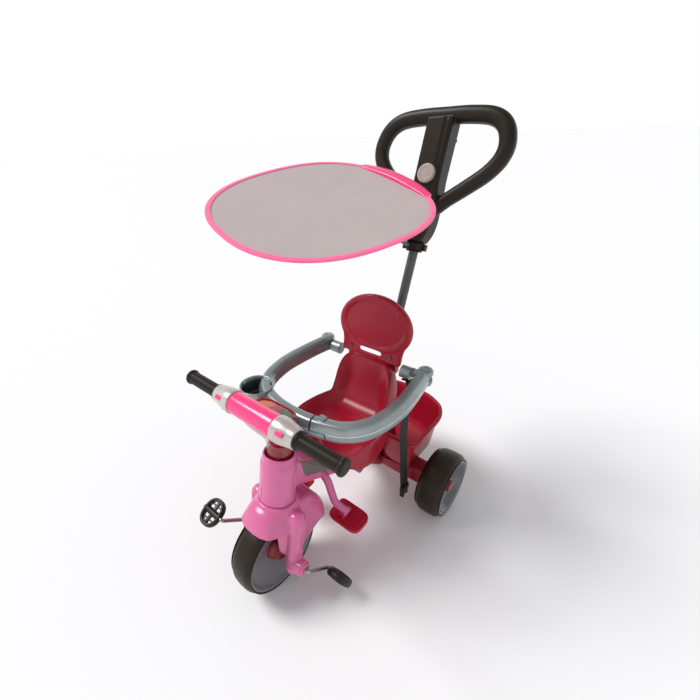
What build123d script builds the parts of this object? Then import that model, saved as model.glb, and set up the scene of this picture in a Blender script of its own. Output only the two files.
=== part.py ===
from build123d import *
from math import cos, pi, radians, sin
import os

os.makedirs("parts", exist_ok=True)

# A child's push-along tricycle. +Z is up, +X is the rider's left, -Y is forwards.
# The origin lies on the floor, midway between the front tyre and the back of the push handle.

# Driving dimensions, in millimetres and degrees.
wheelbase = 440.0
half_track = 253.0          # centre plane to the outer face of a rear tyre
rear_radius = 95.0
rear_width = 72.0
front_radius = 113.0
front_width = 67.0
rake = 11.2                 # steering axis, leaning back at the top
tube_lean = 19.8            # push tube, leaning back at the top
tube_foot_y = -39.6         # push tube axis, measured from the rear axle
tube_foot_z = 180.0
tube_radius = 12.0
tube_wall = 1.6
handle_height = 845.0       # along the tube, from its foot point to the grip's centre line
grip_radius = 18.5          # push handle grip

# Clearances.
fit = 0.06                  # running fit, on the radius
slip = 0.3                  # between parts that move past each other
seat_gap = 0.2              # between parts of one body that only lie together

# The rear axle's place along Y puts the origin midway between the two ends of the tricycle.
lean_sin = sin(radians(tube_lean))
lean_cos = cos(radians(tube_lean))
handle_back = tube_foot_y + handle_height * lean_sin + grip_radius
axle_y = (wheelbase + front_radius - handle_back) / 2
front_y = axle_y - wheelbase
rake_sin = sin(radians(rake))
rake_cos = cos(radians(rake))

# Planes that the sub-parts are placed by. A side plane's sketch X is the object's Y, and its Y is up.
side = Plane(origin=(0, axle_y, 0), x_dir=(0, 1, 0), z_dir=(1, 0, 0))
front_side = Plane(origin=(0, front_y, front_radius), x_dir=(0, 1, 0), z_dir=(1, 0, 0))
steer = Plane(origin=(0, front_y, front_radius), x_dir=(1, 0, 0), z_dir=(0, rake_sin, rake_cos))
steer_side = Plane(origin=steer.origin, x_dir=(0, rake_cos, -rake_sin), z_dir=(1, 0, 0))
steer_half = Plane(origin=steer.origin, x_dir=(1, 0, 0), z_dir=(0, -rake_cos, rake_sin))
tube = Plane(origin=(0, axle_y + tube_foot_y, tube_foot_z), x_dir=(1, 0, 0), z_dir=(0, lean_sin, lean_cos))
tube_face = Plane(origin=tube.origin, x_dir=(1, 0, 0), z_dir=(0, -lean_cos, lean_sin))
tube_side = Plane(origin=tube.origin, x_dir=(0, lean_cos, -lean_sin), z_dir=(1, 0, 0))
steer_axis = Axis(steer.origin, steer.z_dir)


def save(part, name):
    part.label = name
    export_step(part, f"parts/{name}.step")


def turned(points, plane, axis):
    """A solid of revolution from a closed outline of (along, radius) points."""
    with BuildPart() as piece:
        with BuildSketch(plane):
            with BuildLine():
                Polyline(*points, close=True)
            make_face()
        revolve(axis=axis)
    return piece.part


def plate(points, plane, half_width):
    """A slab with the closed outline given, reaching half_width to each side of the plane."""
    with BuildPart() as piece:
        with BuildSketch(plane):
            with BuildLine():
                Polyline(*points, close=True)
            make_face()
        extrude(amount=half_width, both=True)
    return piece.part


# Rear wheels: a tyre on a dished rim, running on a fixed axle, with a cap over the axle nut.
rear_seat_radius = 80.5
axle_radius = 5.0
wheel_gap = 0.2
hub_half = 24.0
nut_length = 6.0
cap_length = 10.0
rear_centre_x = half_track - rear_width / 2
shoulder = 13.0


def wheel_plane(x, y, z):
    return Plane(origin=(x, y, z), x_dir=(1, 0, 0), z_dir=(0, 0, 1))


def tyre_on(x, y, radius, seat_radius, width, rounding):
    with BuildPart() as piece:
        with BuildSketch(wheel_plane(x, y, radius)) as section:
            with Locations((0, (radius + seat_radius) / 2)):
                Rectangle(width, radius - seat_radius)
            fillet(section.vertices().group_by(Axis.Y)[-1], rounding)
        revolve(axis=Axis((x, y, radius), (1, 0, 0)))
    return piece.part


for hand, name in ((1, "l"), (-1, "r")):
    wheel_x = hand * rear_centre_x
    rear_plane = wheel_plane(wheel_x, axle_y, rear_radius)
    rear_spin = Axis((wheel_x, axle_y, rear_radius), (1, 0, 0))
    tyre = tyre_on(wheel_x, axle_y, rear_radius, rear_seat_radius + wheel_gap, rear_width, shoulder)
    save(tyre, f"rear_tyre_{name}")
    bore = axle_radius + fit
    rim_outline = [
        (-34, rear_seat_radius), (34, rear_seat_radius), (34, 75), (26, 72), (12, 32), (hub_half, 20),
        (hub_half, bore), (-26, bore), (-26, 16), (4, 18), (4, 32), (16, 74), (-34, 76),
    ]
    rim = turned([(hand * a, r) for a, r in rim_outline], rear_plane, rear_spin)
    save(rim, f"rear_rim_{name}")
    cap_outline = [
        (hub_half + 0.1, 19), (hub_half + cap_length - 3, 19), (hub_half + cap_length,
                                                                14), (hub_half + cap_length, 0),
        (hub_half + cap_length - 3, 0), (hub_half + cap_length - 3, 12), (hub_half + 0.1, 12),
    ]
    cap = turned([(hand * a, r) for a, r in cap_outline], rear_plane, rear_spin)
    save(cap, f"rear_cap_{name}")

axle_end = rear_centre_x + hub_half + nut_length + 0.5
with BuildPart() as rear_axle:
    with BuildSketch(Plane(origin=(0, axle_y, rear_radius), z_dir=(1, 0, 0))):
        Circle(axle_radius)
    extrude(amount=axle_end, both=True)
save(rear_axle.part, "rear_axle")

with BuildPart() as axle_nuts:
    for hand in (1, -1):
        inner_face = rear_centre_x + hub_half + 0.4
        nut_plane = Plane(origin=(hand * inner_face, axle_y, rear_radius), z_dir=(hand, 0, 0))
        with BuildSketch(nut_plane):
            RegularPolygon(9, 6)
            Circle(axle_radius + 0.02, mode=Mode.SUBTRACT)
        extrude(amount=nut_length - 0.4)
save(axle_nuts.part, "axle_nuts")

# Front wheel, turned directly by its cranks.
front_seat_radius = 100.5
crank_radius = 5.0
front_plane = wheel_plane(0, front_y, front_radius)
front_spin = Axis((0, front_y, front_radius), (1, 0, 0))
front_tyre = tyre_on(0, front_y, front_radius, front_seat_radius + wheel_gap, front_width, 12)
save(front_tyre, "front_tyre")

rim_half = front_width / 2 - 2
boss_half = 30.0
front_half_outline = [
    (rim_half, front_seat_radius), (rim_half, 95), (24, 92), (6, 34), (6, 20), (boss_half, 16),
    (boss_half, crank_radius + 0.02),
]
front_rim_outline = front_half_outline + [(-a, r) for a, r in reversed(front_half_outline)]
front_rim = turned(front_rim_outline, front_plane, front_spin)
save(front_rim, "front_rim")

hub_cone = [(6.3, 33), (boss_half + 2, 23), (boss_half + 2, 17), (boss_half, 16.3), (8, 20.2), (6.3, 20.6)]
with BuildPart() as front_hubs:
    for hand in (1, -1):
        add(turned([(hand * a, r) for a, r in hub_cone], front_plane, front_spin))
save(front_hubs.part, "front_hubs")

crank_throw = 82.0
crank_angle = 138.5
crank_straight = 107.0
crank_offset = 113.0
spindle_end = 176.0
throw_y = crank_throw * cos(radians(crank_angle))
throw_z = crank_throw * sin(radians(crank_angle))
with BuildPart() as crank:
    with BuildLine() as crank_path:
        FilletPolyline(
            (-spindle_end, front_y + throw_y, front_radius + throw_z),
            (-crank_offset, front_y + throw_y, front_radius + throw_z),
            (-crank_straight, front_y, front_radius),
            (crank_straight, front_y, front_radius),
            (crank_offset, front_y - throw_y, front_radius - throw_z),
            (spindle_end, front_y - throw_y, front_radius - throw_z),
            radius=5.5,
        )
    crank_start = Plane(origin=(-spindle_end, front_y + throw_y, front_radius + throw_z), z_dir=(1, 0, 0))
    with BuildSketch(crank_start):
        Circle(crank_radius)
    sweep(path=crank_path.wires()[0])
save(crank.part, "crank")

# Pedals turn freely on the crank's ends.
pedal_inner = 120.0
pedal_length = 60.0
pedal_width = 70.0
pedal_thickness = 22.0
for hand, name, tilt in ((1, "l", -40), (-1, "r", 50)):
    pedal_centre = (hand * (pedal_inner + pedal_length / 2), front_y - hand * throw_y,
                    front_radius - hand * throw_z)
    pedal_up = (0, -sin(radians(tilt)), cos(radians(tilt)))
    with BuildPart() as pedal:
        with BuildSketch(Plane(origin=pedal_centre, x_dir=(1, 0, 0), z_dir=pedal_up)):
            RectangleRounded(pedal_length, pedal_width, 24)
            with Locations((0, 18), (0, -18)):
                with GridLocations(12, 0, 4, 1):
                    SlotOverall(18, 6, rotation=90, mode=Mode.SUBTRACT)
        extrude(amount=pedal_thickness / 2, both=True)
        spindle_plane = Plane(origin=(hand * (pedal_inner - 1), pedal_centre[1], pedal_centre[2]),
                              z_dir=(hand, 0, 0))
        with BuildSketch(spindle_plane):
            Circle(crank_radius + fit)
        extrude(amount=spindle_end - pedal_inner + 2, mode=Mode.SUBTRACT)
    save(pedal.part, f"pedal_{name}")

# Fork: two moulded halves that meet on the centre plane, around the wheel, with a round crown.
crown_radius = 46.0
crown_top = 151.5
leg_radius = 20.0
leg_x = 60.0
wheel_clear = 119.0
cavity_half = 38.0
boss_radius = 20.0
boss_face = 98.0
post_radius = 11.0
post_bottom = 126.0
hood_half = 52.0
with BuildPart() as fork:
    with BuildSketch(front_side):
        with BuildLine():
            Polyline((-30, -35), (-16, 30), (-20, 84), (-58, 109), (-46, 128), (-20, 139), (42, 134),
                     (70, 141))
            ThreePointArc((70, 141), (123, 101), (141, 32))
            Polyline((141, 32), (133, -10), (98, -12), (48, -42), (20, -48), (-30, -48), (-30, -35))
        make_face()
    extrude(amount=hood_half, both=True)
    with BuildSketch(steer.offset(112)):
        Circle(crown_radius + 4)
    extrude(amount=crown_top - 12 - 112)
    with BuildSketch(steer.offset(crown_top - 12)):
        Circle(crown_radius)
    extrude(amount=12)
    for hand in (1, -1):
        leg_top = Vector(hand * leg_x, front_y + 10, 255)
        leg_foot = Vector(hand * leg_x, front_y - 2, 88)
        leg_plane = Plane(origin=leg_foot, z_dir=leg_top - leg_foot)
        with BuildSketch(leg_plane):
            Circle(leg_radius)
        extrude(amount=(leg_top - leg_foot).length)
        with Locations(leg_top, leg_foot):
            Sphere(leg_radius)
        with BuildSketch(Plane(origin=(hand * leg_x, front_y, front_radius), z_dir=(hand, 0, 0))):
            Circle(boss_radius)
        extrude(amount=boss_face - leg_x)
        with BuildSketch(Plane(origin=(hand * cavity_half, front_y, front_radius), z_dir=(hand, 0, 0))):
            Circle(crank_radius + fit)
        extrude(amount=boss_face, mode=Mode.SUBTRACT)
    with BuildSketch(front_side):
        Circle(wheel_clear)
    extrude(amount=cavity_half, both=True, mode=Mode.SUBTRACT)
    with BuildSketch(steer.offset(post_bottom)):
        Circle(post_radius + 0.02)
    extrude(amount=60, mode=Mode.SUBTRACT)
for keep, name in ((Keep.TOP, "l"), (Keep.BOTTOM, "r")):
    with BuildPart() as fork_half:
        add(fork.part)
        split(bisect_by=Plane.YZ, keep=keep)
    save(fork_half.part, f"fork_{name}")

with BuildPart() as fork_caps:
    for hand in (1, -1):
        with BuildSketch(Plane(origin=(hand * (boss_face + 0.1), front_y, front_radius),
                               z_dir=(hand, 0, 0))):
            Circle(15)
            Circle(crank_radius + fit, mode=Mode.SUBTRACT)
        extrude(amount=2.4)
save(fork_caps.part, "fork_caps")

# Head tube: a moulded shroud around the steering post, with a bush at each end.
head_bottom = crown_top + 1
head_radius = 41.0
head_shoulder = 258.0
head_top = 272.0
bush_radius = 20.0
upper_bush_top = 250.0
stem_radius = 28.0
head_outline = [
    (bush_radius, head_bottom), (head_radius, head_bottom), (head_radius, head_shoulder), (36.5,
                                                                                           head_shoulder + 8),
    (36.5, head_top), (stem_radius + 3, head_top), (stem_radius + 3, upper_bush_top), (bush_radius,
                                                                                       upper_bush_top),
]
head_tube = turned(head_outline, steer_half, steer_axis)
save(head_tube, "head_tube")

bush_inner = post_radius + fit
bush_outer = bush_radius - 0.02
with BuildPart() as head_bushes:
    for low, high in ((head_bottom, head_bottom + 14), (upper_bush_top - 14, upper_bush_top)):
        ring = [(bush_inner, low), (bush_outer, low), (bush_outer, high), (bush_inner, high)]
        add(turned(ring, steer_half, steer_axis))
save(head_bushes.part, "head_bushes")

post_top = 330.0
with BuildPart() as steering_post:
    with BuildSketch(steer.offset(post_bottom + 0.2)):
        Circle(post_radius)
    extrude(amount=post_top - post_bottom - 0.2)
save(steering_post.part, "steering_post")

# Stem: a round skirt that stands in the head tube and flares forwards to carry the handlebar.
bar_ahead = -69.4
bar_height = 392.0
cover_radius = 23.5
skirt_top = 296.0
flare_top = bar_height - cover_radius - seat_gap
with BuildPart() as stem:
    with BuildSketch(steer.offset(upper_bush_top + 0.6)):
        Circle(stem_radius)
    extrude(amount=skirt_top - upper_bush_top - 0.6)
    with BuildSketch(steer.offset(skirt_top)):
        Circle(stem_radius)
    with BuildSketch(steer.offset(flare_top)):
        with Locations((0, -51)):
            RectangleRounded(118, 54, 22)
    loft()
    with BuildSketch(steer.offset(upper_bush_top)):
        Circle(post_radius + 0.02)
    extrude(amount=post_top + 1 - upper_bush_top, mode=Mode.SUBTRACT)
save(stem.part, "stem")

console_depth = 46.0
console_width = 106.0
with BuildPart() as console:
    with BuildSketch(steer.offset(flare_top + seat_gap)):
        with Locations((0, -20)):
            RectangleRounded(console_width, console_depth, 20)
    extrude(amount=18)
    with BuildSketch(steer.offset(flare_top + seat_gap + 18)):
        with Locations((0, -20)):
            RectangleRounded(console_width - 10, console_depth - 10, 15)
    extrude(amount=-6, mode=Mode.SUBTRACT)
save(console.part, "console")

with BuildPart() as console_panel:
    with BuildSketch(steer.offset(flare_top + seat_gap + 12 + 0.1)):
        with Locations((0, -20)):
            RectangleRounded(console_width - 11, console_depth - 11, 14)
    extrude(amount=2)
save(console_panel.part, "console_panel")

# Handlebar: a steel tube in a round cover, with a conical bracket and a grip at each side.
bar_radius = 11.0
bar_half = 205.0
cover_half = 60.0
grip_start = 112.0
grip_end = 215.0
bar_centre = steer.from_local_coords((0, bar_ahead, bar_height))
bar_plane = Plane(origin=bar_centre, x_dir=(1, 0, 0), z_dir=(0, 0, 1))
bar_axis = Axis(bar_centre, (1, 0, 0))
bar_tube = turned([(-bar_half, 9.4), (-bar_half, bar_radius), (bar_half, bar_radius), (bar_half, 9.4)],
                  bar_plane, bar_axis)
save(bar_tube, "bar_tube")
sleeve = bar_radius + 0.05
bar_cover = turned([(-cover_half, sleeve), (-cover_half, cover_radius), (cover_half, cover_radius),
                    (cover_half, sleeve)], bar_plane, bar_axis)
save(bar_cover, "bar_cover")

bracket_outline = [
    (cover_half + seat_gap, sleeve), (cover_half + seat_gap, 26), (cover_half + 16, 26),
    (grip_start - seat_gap, 20), (grip_start - seat_gap, sleeve),
]
insert_plane = Plane(origin=bar_centre, x_dir=(1, 0, 0), z_dir=(0, -1, 0.15))
insert_x = cover_half + 32
with BuildPart() as bar_brackets:
    for hand in (1, -1):
        add(turned([(hand * a, r) for a, r in bracket_outline], bar_plane, bar_axis))
    with BuildSketch(insert_plane.offset(21)):
        with Locations((insert_x, 0), (-insert_x, 0)):
            Rectangle(18.4, 9.4)
    extrude(amount=8, mode=Mode.SUBTRACT)
save(bar_brackets.part, "bar_brackets")
with BuildPart() as bar_inserts:
    with BuildSketch(insert_plane.offset(21.1)):
        with Locations((insert_x, 0), (-insert_x, 0)):
            Rectangle(18, 9)
    extrude(amount=3)
save(bar_inserts.part, "bar_inserts")

for hand, name in ((1, "l"), (-1, "r")):
    grip_outline = [
        (grip_start, sleeve), (grip_start, 18.5), (grip_start + 5, 18.5), (grip_start + 8, 14.5),
        (grip_end - 9, 14.5), (grip_end - 7, 17), (grip_end, 16), (grip_end, 0), (bar_half + 1,
                                                                                  0), (bar_half + 1,
                                                                                       sleeve),
    ]
    grip = turned([(hand * a, r) for a, r in grip_outline], bar_plane, bar_axis)
    save(grip, f"grip_{name}")

# Frame: the pink beam from the head tube to under the seat, and the crimson rear frame.
beam_half = 36.0
joint_y = -100.0
beam_outline = [
    (-405, 298), (-380, 291), (-230, 203), (joint_y, 130), (joint_y, 212), (-240, 262), (-292, 300), (-352,
                                                                                                      350),
    (-392, 362),
]
foot_cross_y = -290.0
foot_cross_z = 262.0
foot_tube_radius = 10.0
with BuildPart() as main_beam:
    add(plate(beam_outline, side, beam_half))
    with BuildSketch(steer.offset(head_bottom)):
        Circle(head_radius + 0.1)
    extrude(amount=head_shoulder, mode=Mode.SUBTRACT)
    with BuildSketch(Plane(origin=(0, axle_y + foot_cross_y, foot_cross_z), z_dir=(1, 0, 0))):
        Circle(foot_tube_radius + 0.1)
    extrude(amount=beam_half + 1, both=True, mode=Mode.SUBTRACT)
    for hand in (1, -1):
        with BuildSketch(Plane(origin=(hand * beam_half, axle_y, 0), x_dir=(0, 1, 0), z_dir=(1, 0, 0))):
            with BuildLine():
                Polyline((-342, 336), (-342, 308), (-318, 284), (-318, 316), close=True)
            make_face()
        extrude(amount=-hand * 2, mode=Mode.SUBTRACT)
main_solid = main_beam.part
save(main_solid, "main_beam")

panel_outline = [(-342, 336), (-342, 308), (-318, 284), (-318, 316)]
with BuildPart() as beam_panels:
    for hand in (1, -1):
        with BuildSketch(Plane(origin=(hand * (beam_half - 1.9), axle_y, 0), x_dir=(0, 1, 0),
                               z_dir=(1, 0, 0))):
            with BuildLine():
                Polyline(*panel_outline, close=True)
            make_face()
            offset(amount=-0.2, mode=Mode.REPLACE)
        extrude(amount=hand * 3)
save(beam_panels.part, "beam_panels")

bracket_half = 58.0
pan_underside = 306.0
with BuildPart() as seat_bracket:
    add(plate([(-215, pan_underside), (-215, 226), (-168, 160), (-101, 176), (-101, pan_underside)], side,
              bracket_half))
    add(plate([(-230, 100), (-230, 258.6), (-101, 212.5), (-90, 100)], side, beam_half + seat_gap),
        mode=Mode.SUBTRACT)
save(seat_bracket.part, "seat_bracket")

beam_y_half = 27.0
beam_end = rear_centre_x - rear_width / 2 - 6
beam_low = 66.0
beam_top = 124.0
frame_half = 38.0
socket_top = 75.0
tube_bottom = -50.0
with BuildPart() as rear_frame:
    frame_outline = [
        (joint_y + 0.2, 128), (-beam_y_half, beam_low), (beam_y_half, beam_low), (beam_y_half,
                                                                                  beam_top), (4, beam_top),
        (4, 214), (joint_y + 0.2, 212),
    ]
    add(plate(frame_outline, side, frame_half))
    with BuildSketch(Plane(origin=(0, axle_y, (beam_low + beam_top) / 2), x_dir=(0, 1, 0),
                           z_dir=(1, 0, 0))):
        RectangleRounded(2 * beam_y_half, beam_top - beam_low, 12)
    extrude(amount=beam_end, both=True)
    with BuildSketch(tube):
        Circle(tube_radius + 7)
    extrude(amount=socket_top)
    with BuildSketch(tube.offset(tube_bottom)):
        Circle(tube_radius + 0.05)
    extrude(amount=socket_top - tube_bottom + 1, mode=Mode.SUBTRACT)
    with BuildSketch(Plane(origin=(0, axle_y, rear_radius), z_dir=(1, 0, 0))):
        Circle(axle_radius + 0.05)
    extrude(amount=beam_end + 1, both=True, mode=Mode.SUBTRACT)
save(rear_frame.part, "rear_frame")

tube_top = 724.0
with BuildPart() as push_tube:
    with BuildSketch(tube.offset(tube_bottom + 0.2)):
        Circle(tube_radius)
        Circle(tube_radius - tube_wall, mode=Mode.SUBTRACT)
    extrude(amount=tube_top - tube_bottom)
save(push_tube.part, "push_tube")

# Seat: a one-piece moulded shell, open below, with its back panel and two lugs for the backrest.
seat_wall = 6.0
rim_inset = 13.0
seat_back_half = 94.0
seat_back_top = 456.0
back_face = -54.0
seat_outline = [
    (-294, 308), (-290, 326), (-270, 336), (-120, 337), (-96, 352), (-80, 400), (back_face - 12,
                                                                                 seat_back_top),
    (back_face + 12, seat_back_top), (-40, 330), (-56, 292), (-150, 264), (-240, 268),
]
pan_line = [(-310, 345), (-272, 322), (-200, 312), (-112, 312), (-86, 330), (-70, 372),
            (back_face, seat_back_top)]


def seat_plan(inset):
    """The seat's outline from above, drawn inside the real one by inset."""
    back = axle_y - 20 - inset / 4
    with BuildSketch(Plane.XY.offset(200)) as plan:
        with BuildLine() as edge:
            lobe = Spline(
                (0, axle_y - 268 + inset), (62, axle_y - 290 + inset), (104 - inset,
                                                                        axle_y - 262 + inset / 2),
                (117 - inset, axle_y - 205), (110 - inset, axle_y - 130), (seat_back_half - inset,
                                                                           axle_y - 78),
                tangents=[(1, 0), (-0.15, 1)],
            )
            Line(lobe @ 1, (seat_back_half - inset, back))
            Line((seat_back_half - inset, back), (0, back))
            mirror(edge.edges(), about=Plane.YZ)
        make_face()
    return plan.sketch


with BuildPart() as seat_bowl:
    add(seat_plan(rim_inset))
    extrude(amount=400)
    add(plate(pan_line + [(back_face - 4, 620), (-330, 620), (-330, 345)], side, 200), mode=Mode.INTERSECT)
with BuildPart() as seat_hollow:
    add(seat_plan(seat_wall))
    extrude(amount=400)
    under = [(y, z - seat_wall) for y, z in pan_line[1:-2]] + [(-58, 336), (-50, 300), (-50, 200),
                                                               (-285, 200), (-285, 300)]
    add(plate(under, side, 200), mode=Mode.INTERSECT)
with BuildPart() as seat:
    add(seat_plan(0))
    extrude(amount=400)
    add(plate(seat_outline, side, 200), mode=Mode.INTERSECT)
    add(seat_bowl.part, mode=Mode.SUBTRACT)
    add(seat_hollow.part, mode=Mode.SUBTRACT)
    for hand in (1, -1):
        with BuildSketch(Plane(origin=(hand * 60, axle_y, 0), x_dir=(0, 1, 0), z_dir=(1, 0, 0))):
            with BuildLine():
                Polyline((-44, 424), (-27, 424), (-23, 482), (-31.4, 482), (-35.8, 455.9), (-44, 455),
                         close=True)
            make_face()
        extrude(amount=13, both=True)
save(seat.part, "seat")

back_lean = 9.7
back_plane = Plane(
    origin=(0, axle_y + back_face + 2, seat_back_top + 3.4), x_dir=(1, 0, 0),
    z_dir=(0, -cos(radians(back_lean)), sin(radians(back_lean))),
)
back_thickness = 16.0
back_half = 105.0
back_height = 158.0
screw_x = 60.0
screw_up = 12.0
with BuildPart() as backrest:
    with BuildSketch(back_plane):
        with Locations((0, back_height / 2)):
            Ellipse(back_half, back_height / 2)
        with Locations((0, 17)):
            RectangleRounded(2 * 86, 34, 3)
        with Locations((0, 9)):
            SlotOverall(68, 9, mode=Mode.SUBTRACT)
        with Locations((screw_x, screw_up), (-screw_x, screw_up)):
            Circle(2.6, mode=Mode.SUBTRACT)
    extrude(amount=-back_thickness)
    with BuildSketch(back_plane):
        with Locations((0, back_height / 2 + 6)):
            Ellipse(back_half - 18, back_height / 2 - 20)
    extrude(amount=-4, mode=Mode.SUBTRACT)
save(backrest.part, "backrest")

with BuildPart() as back_screws:
    with BuildSketch(back_plane.offset(0.1)):
        with Locations((screw_x, screw_up), (-screw_x, screw_up)):
            Circle(5)
    extrude(amount=2.4)
    with BuildSketch(back_plane.offset(0.1)):
        with Locations((screw_x, screw_up), (-screw_x, screw_up)):
            Circle(2.5)
    extrude(amount=0.6 - back_thickness)
save(back_screws.part, "back_screws")

# Guard: two curved arms on upright pins beside the seat back, lapped together in front of the child.
pin_x = 150.0
pin_y = -38.0
guard_slope = 1.0
pivot_z = 447.0
knuckle_radius = 23.0
tongue_half = 6.0
pin_radius = 5.0
arm_half_height = 22.0
arm_width = 34.0
with BuildPart() as guard_brackets:
    for hand in (1, -1):
        with BuildSketch(Plane(origin=(hand * (seat_back_half + 0.1), axle_y + pin_y - 10, pivot_z),
                               z_dir=(hand, 0, 0))):
            Circle(16)
        extrude(amount=26)
        with BuildSketch(Plane.XY.offset(pivot_z - tongue_half)):
            with Locations((hand * pin_x, axle_y + pin_y)):
                Circle(13)
            with Locations((hand * (pin_x - 18), axle_y + pin_y - 2)):
                Rectangle(36, 22)
            with Locations((hand * pin_x, axle_y + pin_y)):
                Circle(pin_radius + 0.02, mode=Mode.SUBTRACT)
        extrude(amount=2 * tongue_half)
save(guard_brackets.part, "guard_brackets")

with BuildPart() as guard_pins:
    with BuildSketch(Plane.XY.offset(pivot_z - arm_half_height + 2)):
        with Locations((pin_x, axle_y + pin_y), (-pin_x, axle_y + pin_y)):
            Circle(pin_radius)
    extrude(amount=2 * arm_half_height - 4)
save(guard_pins.part, "guard_pins")

guard_front_y = -336.0
slope_sin = sin(radians(guard_slope))
slope_cos = cos(radians(guard_slope))
guard_plane = Plane(
    origin=(0, axle_y + pin_y, pivot_z), x_dir=(1, 0, 0), z_dir=(0, -slope_sin, slope_cos),
)
guard_reach = (guard_front_y - pin_y) / slope_cos
lap_outer = 84.0
lap_inner = 52.0
lap_gap = 0.4


def guard_ring(hand):
    """The arm on one side, from its pin to the middle of the front, before it is cut for the lap."""
    with BuildPart() as ring:
        with BuildSketch(guard_plane.offset(-arm_half_height)):
            with BuildLine() as centre_line:
                Spline(
                    (hand * pin_x, 0), (hand * 162, -90), (hand * 165, -165), (hand * 147, -235),
                    (hand * 102, -279), (0, guard_reach),
                    tangents=[(hand * 0.05, -1), (-hand, 0)],
                )
            trace(centre_line.edges(), line_width=arm_width)
        extrude(amount=2 * arm_half_height)
    return ring.part


def guard_arm(hand):
    with BuildPart() as arm:
        add(guard_ring(hand))
        if hand < 0:
            add(guard_ring(1))
        with BuildSketch(Plane.XY.offset(pivot_z - arm_half_height)):
            with Locations((hand * pin_x, axle_y + pin_y)):
                Circle(knuckle_radius)
        extrude(amount=2 * arm_half_height)
        with BuildSketch(Plane.XY.offset(pivot_z - tongue_half - slip)):
            with Locations((hand * pin_x, axle_y + pin_y)):
                Circle(knuckle_radius + 1.5)
        extrude(amount=2 * (tongue_half + slip), mode=Mode.SUBTRACT)
        with BuildSketch(Plane.XY.offset(pivot_z - arm_half_height - 5)):
            with Locations((hand * pin_x, axle_y + pin_y)):
                Circle(pin_radius + fit)
        extrude(amount=2 * arm_half_height + 10, mode=Mode.SUBTRACT)
        # The left arm keeps everything outside the lap and its upper half; the right arm the rest.
        reach = 400
        if hand > 0:
            with BuildSketch(guard_plane.offset(-60)):
                with Locations((lap_outer + lap_gap - reach / 2, -reach / 2)):
                    Rectangle(reach, reach)
            extrude(amount=60 + lap_gap / 2, mode=Mode.SUBTRACT)
            with BuildSketch(guard_plane.offset(-60)):
                with Locations((lap_inner - reach / 2, -reach / 2)):
                    Rectangle(reach, reach)
            extrude(amount=120, mode=Mode.SUBTRACT)
        else:
            with BuildSketch(guard_plane.offset(-lap_gap / 2)):
                with Locations((lap_inner - lap_gap + reach / 2, -reach / 2 + 60)):
                    Rectangle(reach, reach)
            extrude(amount=120, mode=Mode.SUBTRACT)
            with BuildSketch(guard_plane.offset(-60)):
                with Locations((lap_outer + reach / 2, -reach / 2 + 60)):
                    Rectangle(reach, reach)
            extrude(amount=120, mode=Mode.SUBTRACT)
    return arm.part


latch_x = 70.0
latch_y = guard_reach + 14
latch_size = 16.0
latch_depth = 10.0
cup_x = -126.0
cup_y = -289.0
cup_radius = 38.0
cup_rise = 4.0
cup_drop = 44.0
arm_l = guard_arm(1)
with BuildPart() as left_arm:
    add(arm_l)
    with BuildSketch(guard_plane.offset(arm_half_height)):
        with Locations((latch_x, latch_y)):
            Rectangle(latch_size + 2 * slip, latch_size + 2 * slip)
    extrude(amount=-latch_depth, mode=Mode.SUBTRACT)
save(left_arm.part, "guard_arm_l")
with BuildPart() as guard_latch:
    with BuildSketch(guard_plane.offset(arm_half_height + 3)):
        with Locations((latch_x, latch_y)):
            RectangleRounded(latch_size, latch_size, 3)
    extrude(amount=-8)
save(guard_latch.part, "guard_latch")

with BuildPart() as right_arm:
    add(guard_arm(-1))
    with BuildSketch(guard_plane.offset(-60)):
        with Locations((cup_x, cup_y)):
            Circle(cup_radius + seat_gap)
    extrude(amount=120, mode=Mode.SUBTRACT)
save(right_arm.part, "guard_arm_r")
with BuildPart() as cup_holder:
    with BuildSketch(guard_plane.offset(arm_half_height + cup_rise)):
        with Locations((cup_x, cup_y)):
            Circle(cup_radius)
    extrude(amount=-cup_drop)
    with BuildSketch(guard_plane.offset(arm_half_height + cup_rise)):
        with Locations((cup_x, cup_y)):
            Circle(cup_radius - 3)
    extrude(amount=3 - cup_drop, mode=Mode.SUBTRACT)
save(cup_holder.part, "cup_holder")

# Footrest: one bent tube through the beam, with a folding plate on a pivot at each end.
plate_pivot_x = 86.0
plate_pivot_y = -272.0
plate_pivot_z = 134.0
barrel_radius = 9.0
barrel_half = 12.0
trunnion_radius = 4.0
trunnion_length = 6.0
arm_end_x = plate_pivot_x - 2
with BuildPart() as footrest_tube:
    with BuildLine() as foot_path:
        FilletPolyline(
            (-arm_end_x, axle_y + plate_pivot_y, plate_pivot_z + 5),
            (-62, axle_y - 286, 166),
            (-62, axle_y + foot_cross_y, foot_cross_z),
            (62, axle_y + foot_cross_y, foot_cross_z),
            (62, axle_y - 286, 166),
            (arm_end_x, axle_y + plate_pivot_y, plate_pivot_z + 5),
            radius=12,
        )
    foot_start = Plane(origin=foot_path.wires()[0] @ 0, z_dir=foot_path.wires()[0] % 0)
    with BuildSketch(foot_start):
        Circle(foot_tube_radius)
    sweep(path=foot_path.wires()[0])
    for hand in (1, -1):
        pivot_plane = Plane(
            origin=(hand * plate_pivot_x, axle_y + plate_pivot_y, plate_pivot_z), x_dir=(1, 0,
                                                                                         0), z_dir=(0, -1,
                                                                                                    0))
        with BuildSketch(pivot_plane):
            Circle(trunnion_radius)
        extrude(amount=barrel_half + trunnion_length, both=True)
        for end in (1, -1):
            with BuildSketch(pivot_plane.offset(end * (barrel_half - 0.01))):
                Circle(60)
                Circle(trunnion_radius, mode=Mode.SUBTRACT)
            extrude(amount=end * 20, mode=Mode.SUBTRACT)
        with BuildSketch(pivot_plane):
            Circle(barrel_radius)
        extrude(amount=barrel_half, both=True)
save(footrest_tube.part, "footrest_tube")

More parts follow.
